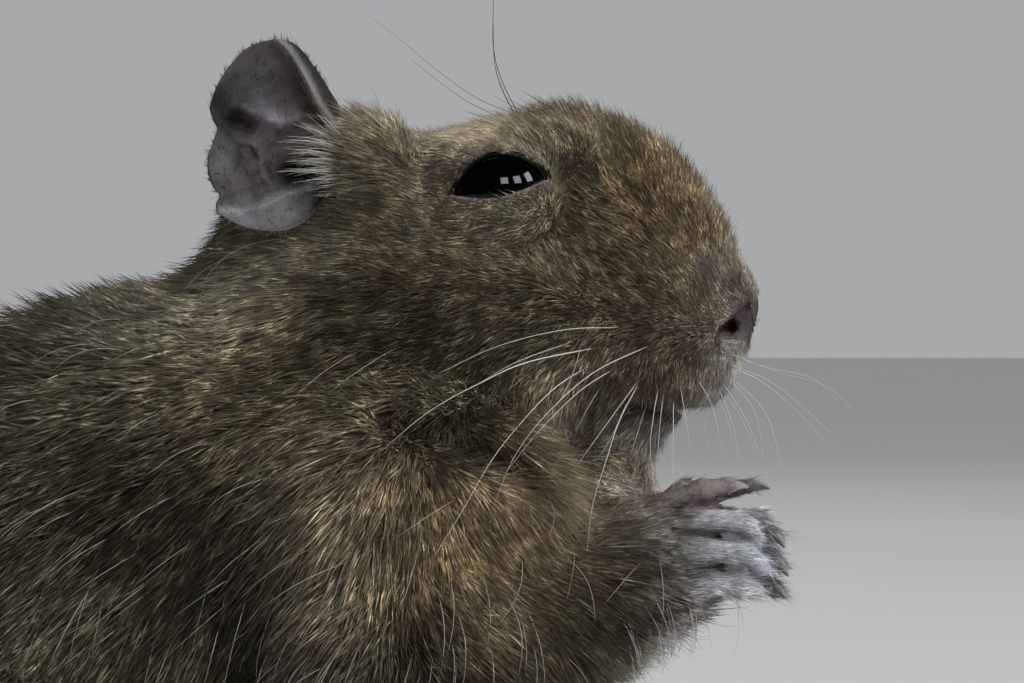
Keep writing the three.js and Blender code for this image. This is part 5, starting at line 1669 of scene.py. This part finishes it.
def guard_paths(side, draw):
    """Long thin hairs that stand out over the coat of one side."""
    mesh = bpy.data.objects["skin"].data
    read = {}
    for name, source, key in (("at", mesh.vertices, "co"), ("out", mesh.attributes["out"].data, "vector")):
        values = np.empty(3 * len(mesh.vertices))
        source.foreach_get(key, values)
        read[name] = values.reshape(-1, 3)
    points = read["at"] / MM - (SHIFT, 0, 0)
    paths, radii = [], []
    shares = np.linspace(0, 1, 10)[:, None]
    for at, radius, count, (least, most), hang in GUARDS:
        weight = np.exp(-(((points - across(at, side)) / radius) ** 2).sum(1)) * (points[:, 1] * side > 0)
        for i in draw.choice(len(points), count, p=weight / weight.sum(), replace=False):
            out = read["out"][i]
            way = across(unit(hang), side) + draw.normal(size=3) * 0.1
            way = unit(way - (way @ out) * out)
            length = draw.uniform(least, most)
            stand = draw.uniform(0.28, 0.5)
            curve = way * shares + out * stand * np.sin(shares * 2.0) - (0, 0, 0.12) * shares**2
            path = points[i] + length * curve
            path[:, 2] = np.maximum(path[:, 2], 0.3)
            paths.append(path - 0.3 * out)
            radii.append((draw.uniform(0.03, 0.05) * (1.6 if at[0] > 10 else 1.0), 0.008))
    return paths, radii


def brow_paths(side):
    """Two long hairs over each eye, shorter on the left."""
    paths = []
    for root, tip, bend in BROW_HAIRS:
        shares = np.linspace(0, 0.75 if side > 0 else 1, 14)[:, None]
        sway = np.array(bend) * np.sin(shares * math.pi * 1.5)
        paths.append((np.array(root) + (np.array(tip) - root) * shares + sway) * (1, side, 1))
    return paths, [(0.05, 0.015), (0.026, 0.01)]


# Settings


class DeguCoat(bpy.types.PropertyGroup):
    fullness: bpy.props.FloatProperty(
        name="Fullness",
        description="Number of tufts as a share of the usual number",
        default=1.0,
        min=0.05,
        max=1.2,
    )
    unruly: bpy.props.FloatProperty(
        name="Unruly", description="How far tufts stray from the lie of the coat", default=0.3, min=0, max=1
    )
    length: bpy.props.FloatProperty(
        name="Length", description="Hair length as a share of the usual length", default=1.0, min=0.3, max=2
    )
    seed: bpy.props.IntProperty(name="Seed", description="Which random draw of tufts is used", default=4)


class DeguEyes(bpy.types.PropertyGroup):
    wet: bpy.props.FloatProperty(
        name="Roughness",
        description="Roughness of the wet eye, where 0 is a mirror",
        default=0.04,
        min=0,
        max=1,
    )


class DeguStage(bpy.types.PropertyGroup):
    floor: bpy.props.FloatVectorProperty(
        name="Floor", description="Colour of the floor", subtype="COLOR", default=(0.62, 0.62, 0.61)
    )
    distance: bpy.props.FloatProperty(
        name="Camera distance",
        description="From the camera to the middle of the animal",
        default=0.4,
        unit="LENGTH",
    )
    lens: bpy.props.FloatProperty(
        name="Lens", description="Focal length of the camera", default=159.8, subtype="DISTANCE_CAMERA"
    )
    sun: bpy.props.FloatProperty(
        name="Sun", description="Strength of the wide soft sun", default=1.0, min=0, max=5
    )
    window: bpy.props.FloatProperty(
        name="Window", description="Power of each pane of the soft window light", default=6.0, unit="POWER"
    )


def crowded(points, faces, values):
    """Tufts for each square metre at each point, so that every region has its own number of them."""
    corners = points[faces]
    diagonals = corners[:, 2] - corners[:, 0], corners[:, 3] - corners[:, 1]
    areas = 0.5 * np.linalg.norm(np.cross(*diagonals), axis=1)
    areas = np.bincount(faces.ravel(), np.repeat(areas / 4, 4), len(points))
    crowd = np.clip(1 - 1.15 * values["bare"], 0, 1) / (values["girth"] * values["length"])
    crowd *= 1 + 5 * smoothstep(-141, -153, points[:, 0])
    region = region_of(points)
    for number, name in enumerate(REGIONS):
        here = region == number
        crowd[here] *= TUFTS[name] / (crowd[here] * areas[here]).sum()
    return crowd / MM**2


class DEGU_OT_skin(bpy.types.Operator):
    """Makes the one skin that replaces the flesh of the frame"""

    bl_idname = "degu.skin"
    bl_label = "Skin"

    def execute(self, context):
        points, faces = net(sampled(skin_field, GRID), GRID)
        points, out = settled(points, faces, skin_field)
        made = mesh_object("skin", points, faces)
        values = coat_values(points, out)
        give(made, "crowd", "FLOAT", crowded(points, faces, values))
        give(made, "region", "INT", region_of(points[faces].mean(1)), "FACE")
        for name in ("lie", "tone", "hide"):
            give(made, name, "FLOAT_VECTOR", values[name])
        give(made, "out", "FLOAT_VECTOR", out)
        give(made, "plain", "FLOAT", values["plain"])
        give(made, "bare", "FLOAT", values["bare"])
        for name, key in (("hair", "length"), ("rise", "rise"), ("girth", "girth")):
            give(made, name, "FLOAT", values[key] * MM)
        unwrapped(made, 0.001)
        flesh = ["head", "neck", "torso", "tail_root", "tail_middle"]
        for part, name in product(("upper_arm", "forearm", "forepaw", "thigh", "shank", "hind_foot"), SIDES):
            flesh.append(f"{part}_{name}")
        finished(made, skin_material(), "coat", *flesh)
        return {"FINISHED"}


class DEGU_OT_coat(bpy.types.Operator):
    """Sets tufts of hair on the skin, region by region"""

    bl_idname = "degu.coat"
    bl_label = "Coat"

    def execute(self, context):
        settings = context.scene.degu_coat
        skin = bpy.data.objects["skin"]
        shapes = tuft_shapes()
        hair = coat_material()
        for number, name in enumerate(REGIONS):
            inputs = {
                "Density": settings.fullness * 1.0,
                "Seed": settings.seed + 20 * number,
                "Region": number,
                "Jitter": settings.unruly * CALM.get(name, 1.0),
                "Length": settings.length,
                "Patch": 0.003,
                "Tufts": shapes,
                "Hair": hair,
            }
            made = dressed(skin, f"coat_{name}", inputs)
            nodes = ["tail_brush"] if name == "tail" else []
            finished(made, None, "coat", *nodes)
        for name in SIDES:
            inputs.update({"Density": 1.0, "Region": 0, "Seed": 3, "Jitter": 0.5})
            made = dressed(bpy.data.objects[f"ear_cup_{name}"], f"ear_down_{name}", inputs)
            finished(made, None, "coat")
        for shape in list(shapes.objects):
            bpy.data.objects.remove(shape)
        bpy.data.collections.remove(shapes)
        return {"FINISHED"}


class DEGU_OT_eyes(bpy.types.Operator):
    """Makes both eyes and the edges of their lids"""

    bl_idname = "degu.eyes"
    bl_label = "Eyes and lids"

    def execute(self, context):
        wet, lid = eye_material(), lid_material()
        wet.node_tree.nodes["Principled BSDF"].inputs["Roughness"].default_value = context.scene.degu_eyes.wet
        for name, side in SIDES.items():
            eye_piece(f"eyeball_{name}", side, wet)
            lid_piece(f"lids_{name}", side, lid)
        return {"FINISHED"}


EAR_HAIR_SEED = 5
LONG_HAIR_SEED = 21


def hair_piece(name, paths, radii, material, **form):
    """A piece of single hairs, each a tapered tube along its path."""
    points, faces, along = tubes(paths, radii, **form)
    made = mesh_object(name, points, faces)
    give(made, "along", "FLOAT", along)
    outward_faces(made)
    unwrapped(made)
    finished(made, material, "coat")


class DEGU_OT_ears(bpy.types.Operator):
    """Makes both ear cups and the white hair across their openings"""

    bl_idname = "degu.ears"
    bl_label = "Ears"

    def execute(self, context):
        material, white = ear_material(), pale_hair_material("ear_hair", 0.6)
        for name, side in SIDES.items():
            ear_piece(f"ear_cup_{name}", side, material)
            paths, radii = ear_tuft_paths(side, np.random.default_rng(EAR_HAIR_SEED))
            hair_piece(f"ear_hair_{name}", paths, radii, white, sides=3, flat=0.6)
        return {"FINISHED"}


class DEGU_OT_whiskers(bpy.types.Operator):
    """Makes the whiskers and the long hairs over the eyes"""

    bl_idname = "degu.whiskers"
    bl_label = "Whiskers"

    def execute(self, context):
        white, black = pale_hair_material("whisker", 0.8), dark_hair_material()
        grey = pale_hair_material("guard_hair", 0.6)
        for name, side in SIDES.items():
            draw = np.random.default_rng(LONG_HAIR_SEED)
            hair_piece(f"whiskers_{name}", *whisker_paths(side, draw), white, sides=4)
            hair_piece(f"brow_hairs_{name}", *brow_paths(side), black, sides=4)
            hair_piece(f"guard_hairs_{name}", *guard_paths(side, draw), grey, sides=3)
        return {"FINISHED"}


def claw_material():
    material, tree, principled = new_material("horn", {"Roughness": 0.3})
    place = object_place(tree)
    layers = tree.noise(place, 900.0, 4.0)
    colour = tree.mix(layers, srgb(104, 98, 95), srgb(172, 166, 162))
    tree.tree.links.new(colour, principled.inputs["Base Color"])
    bumped(tree, principled, layers, 0.00006)
    return material


class DEGU_OT_claws(bpy.types.Operator):
    """Rounds the claws of each paw"""

    bl_idname = "degu.claws"
    bl_label = "Claws"

    def execute(self, context):
        horn = claw_material()
        for kind, count in (("fore", 4), ("hind", 5)):
            for name in SIDES:
                nodes = [f"claw_{kind}_{name}_{i + 1}" for i in range(count)]
                whole = bmesh.new()
                for node in nodes:
                    whole.from_mesh(frame["nodes"][node].data)
                bmesh.ops.remove_doubles(whole, verts=whole.verts, dist=2e-6)
                mesh = bpy.data.meshes.new(f"claws_{kind}_{name}")
                for face in whole.faces:
                    face.smooth = True
                whole.to_mesh(mesh)
                whole.free()
                made = bpy.data.objects.new(mesh.name, mesh)
                context.scene.collection.objects.link(made)
                rounding = made.modifiers.new("rounding", "SUBSURF")
                rounding.levels = rounding.render_levels = 2
                shown = made.evaluated_get(context.evaluated_depsgraph_get())
                smooth = bpy.data.meshes.new_from_object(shown)
                made.modifiers.remove(rounding)
                made.data = smooth
                smooth.name = made.name
                unwrapped(made)
                finished(made, horn, "claw", *nodes)
        return {"FINISHED"}


def stage_material(name, colour):
    material, tree, principled = new_material(name, {"Roughness": 0.85})
    cloud = tree.noise(object_place(tree), 3.0, 2.0)
    shade = tree.mix(cloud, [c * 0.97 for c in colour], [min(1, c * 1.03) for c in colour])
    tree.tree.links.new(shade, principled.inputs["Base Color"])
    return material


def area_light(name, place, target, size, power, colour):
    light = bpy.data.lights.new(name, "AREA")
    light.shape = "RECTANGLE"
    light.size, light.size_y = size
    light.energy = power
    light.color = colour
    made = bpy.data.objects.new(name, light)
    made.location = place
    made.rotation_euler = (Vector(target) - Vector(place)).to_track_quat("-Z", "Y").to_euler()
    made.visible_camera = False
    bpy.context.scene.collection.objects.link(made)
    return made


SENSOR_WIDTH = 36.0
NEAREST = 0.01
VIEW_HEIGHT = 0.0744


class DEGU_OT_stage(bpy.types.Operator):
    """Makes the camera, the floor, the window lights and the sky light"""

    bl_idname = "degu.stage"
    bl_label = "Stage"

    def execute(self, context):
        settings = context.scene.degu_stage
        middle = SHIFT * MM
        camera = bpy.data.cameras.new("camera")
        camera.lens = settings.lens
        camera.sensor_width = SENSOR_WIDTH
        camera.clip_start = NEAREST
        made = bpy.data.objects.new("camera", camera)
        made.location = (middle, -settings.distance, VIEW_HEIGHT)
        made.rotation_euler = (math.radians(90), 0, 0)
        context.scene.collection.objects.link(made)
        context.scene.camera = made
        bpy.ops.mesh.primitive_grid_add(x_subdivisions=8, y_subdivisions=8, size=40)
        floor = context.active_object
        floor.name = "floor"
        floor.data.materials.append(stage_material("pale_floor", settings.floor))
        target = (middle, 0, 0.06)
        sun = bpy.data.lights.new("wide_sun", "SUN")
        sun.energy, sun.angle = settings.sun, math.radians(40)
        lamp = bpy.data.objects.new("wide_sun", sun)
        lamp.rotation_euler = (math.radians(48), 0, math.radians(38))
        lamp.visible_glossy = False
        context.scene.collection.objects.link(lamp)
        for i, turn in enumerate((-68, -34, 0)):
            heading, height = math.radians(turn), math.radians(29)
            level = math.cos(height)
            way = Vector((math.cos(heading) * level, math.sin(heading) * level, math.sin(height)))
            place = Vector(target) + way * 1.6
            area_light(f"window_{i}", place, target, (0.46, 0.4), settings.window, (0.9, 0.95, 1.0))
        area_light("overhead", (middle - 0.1, 0.35, 1.7), target, (1.4, 1.0), 5.0, (1.0, 0.98, 0.95))
        area_light("behind", (middle - 0.9, 1.5, 1.0), target, (1.2, 0.9), 5.0, (1.0, 0.98, 0.95))
        world = bpy.data.worlds.new("pale_room")
        world.use_nodes = True
        background = world.node_tree.nodes["Background"]
        background.inputs["Color"].default_value = (0.95, 0.97, 1.0, 1)
        sky = Tree(world.node_tree)
        around = sky.node("ShaderNodeTexCoord").outputs["Generated"]
        behind = sky.node("ShaderNodeSeparateXYZ", {0: around}).outputs["Y"]
        strength = sky.math("MULTIPLY_ADD", behind, 0.14, 0.27)
        world.node_tree.links.new(strength, background.inputs["Strength"])
        world.cycles_visibility.glossy = False
        context.scene.world = world
        context.scene.view_settings.view_transform = "Standard"
        return {"FINISHED"}


class DEGU_PT_panel(bpy.types.Panel):
    """Lists the settings and the pieces in the sidebar"""

    bl_label = "Degu"
    bl_idname = "DEGU_PT_panel"
    bl_space_type = "VIEW_3D"
    bl_region_type = "UI"
    bl_category = "Degu"

    def draw(self, context):
        for group in (context.scene.degu_coat, context.scene.degu_eyes, context.scene.degu_stage):
            for key in group.__annotations__:
                self.layout.prop(group, key)
        for operator in OPERATORS:
            self.layout.operator(operator.bl_idname)


GROUPS = {"degu_coat": DeguCoat, "degu_eyes": DeguEyes, "degu_stage": DeguStage}
OPERATORS = (
    DEGU_OT_stage,
    DEGU_OT_skin,
    DEGU_OT_eyes,
    DEGU_OT_ears,
    DEGU_OT_claws,
    DEGU_OT_whiskers,
    DEGU_OT_coat,
)


def register():
    for one in (*GROUPS.values(), *OPERATORS, DEGU_PT_panel):
        bpy.utils.register_class(one)
    for name, group in GROUPS.items():
        setattr(bpy.types.Scene, name, bpy.props.PointerProperty(type=group))


def unregister():
    for name in GROUPS:
        delattr(bpy.types.Scene, name)
    for one in (DEGU_PT_panel, *OPERATORS, *GROUPS.values()):
        bpy.utils.unregister_class(one)


def plain(box):
    return [[float(value) for value in corner] for corner in box]


def main():
    register()
    for operator in OPERATORS:
        getattr(bpy.ops.degu, operator.bl_idname.split(".")[1])()


if __name__ == "__main__":
    main()
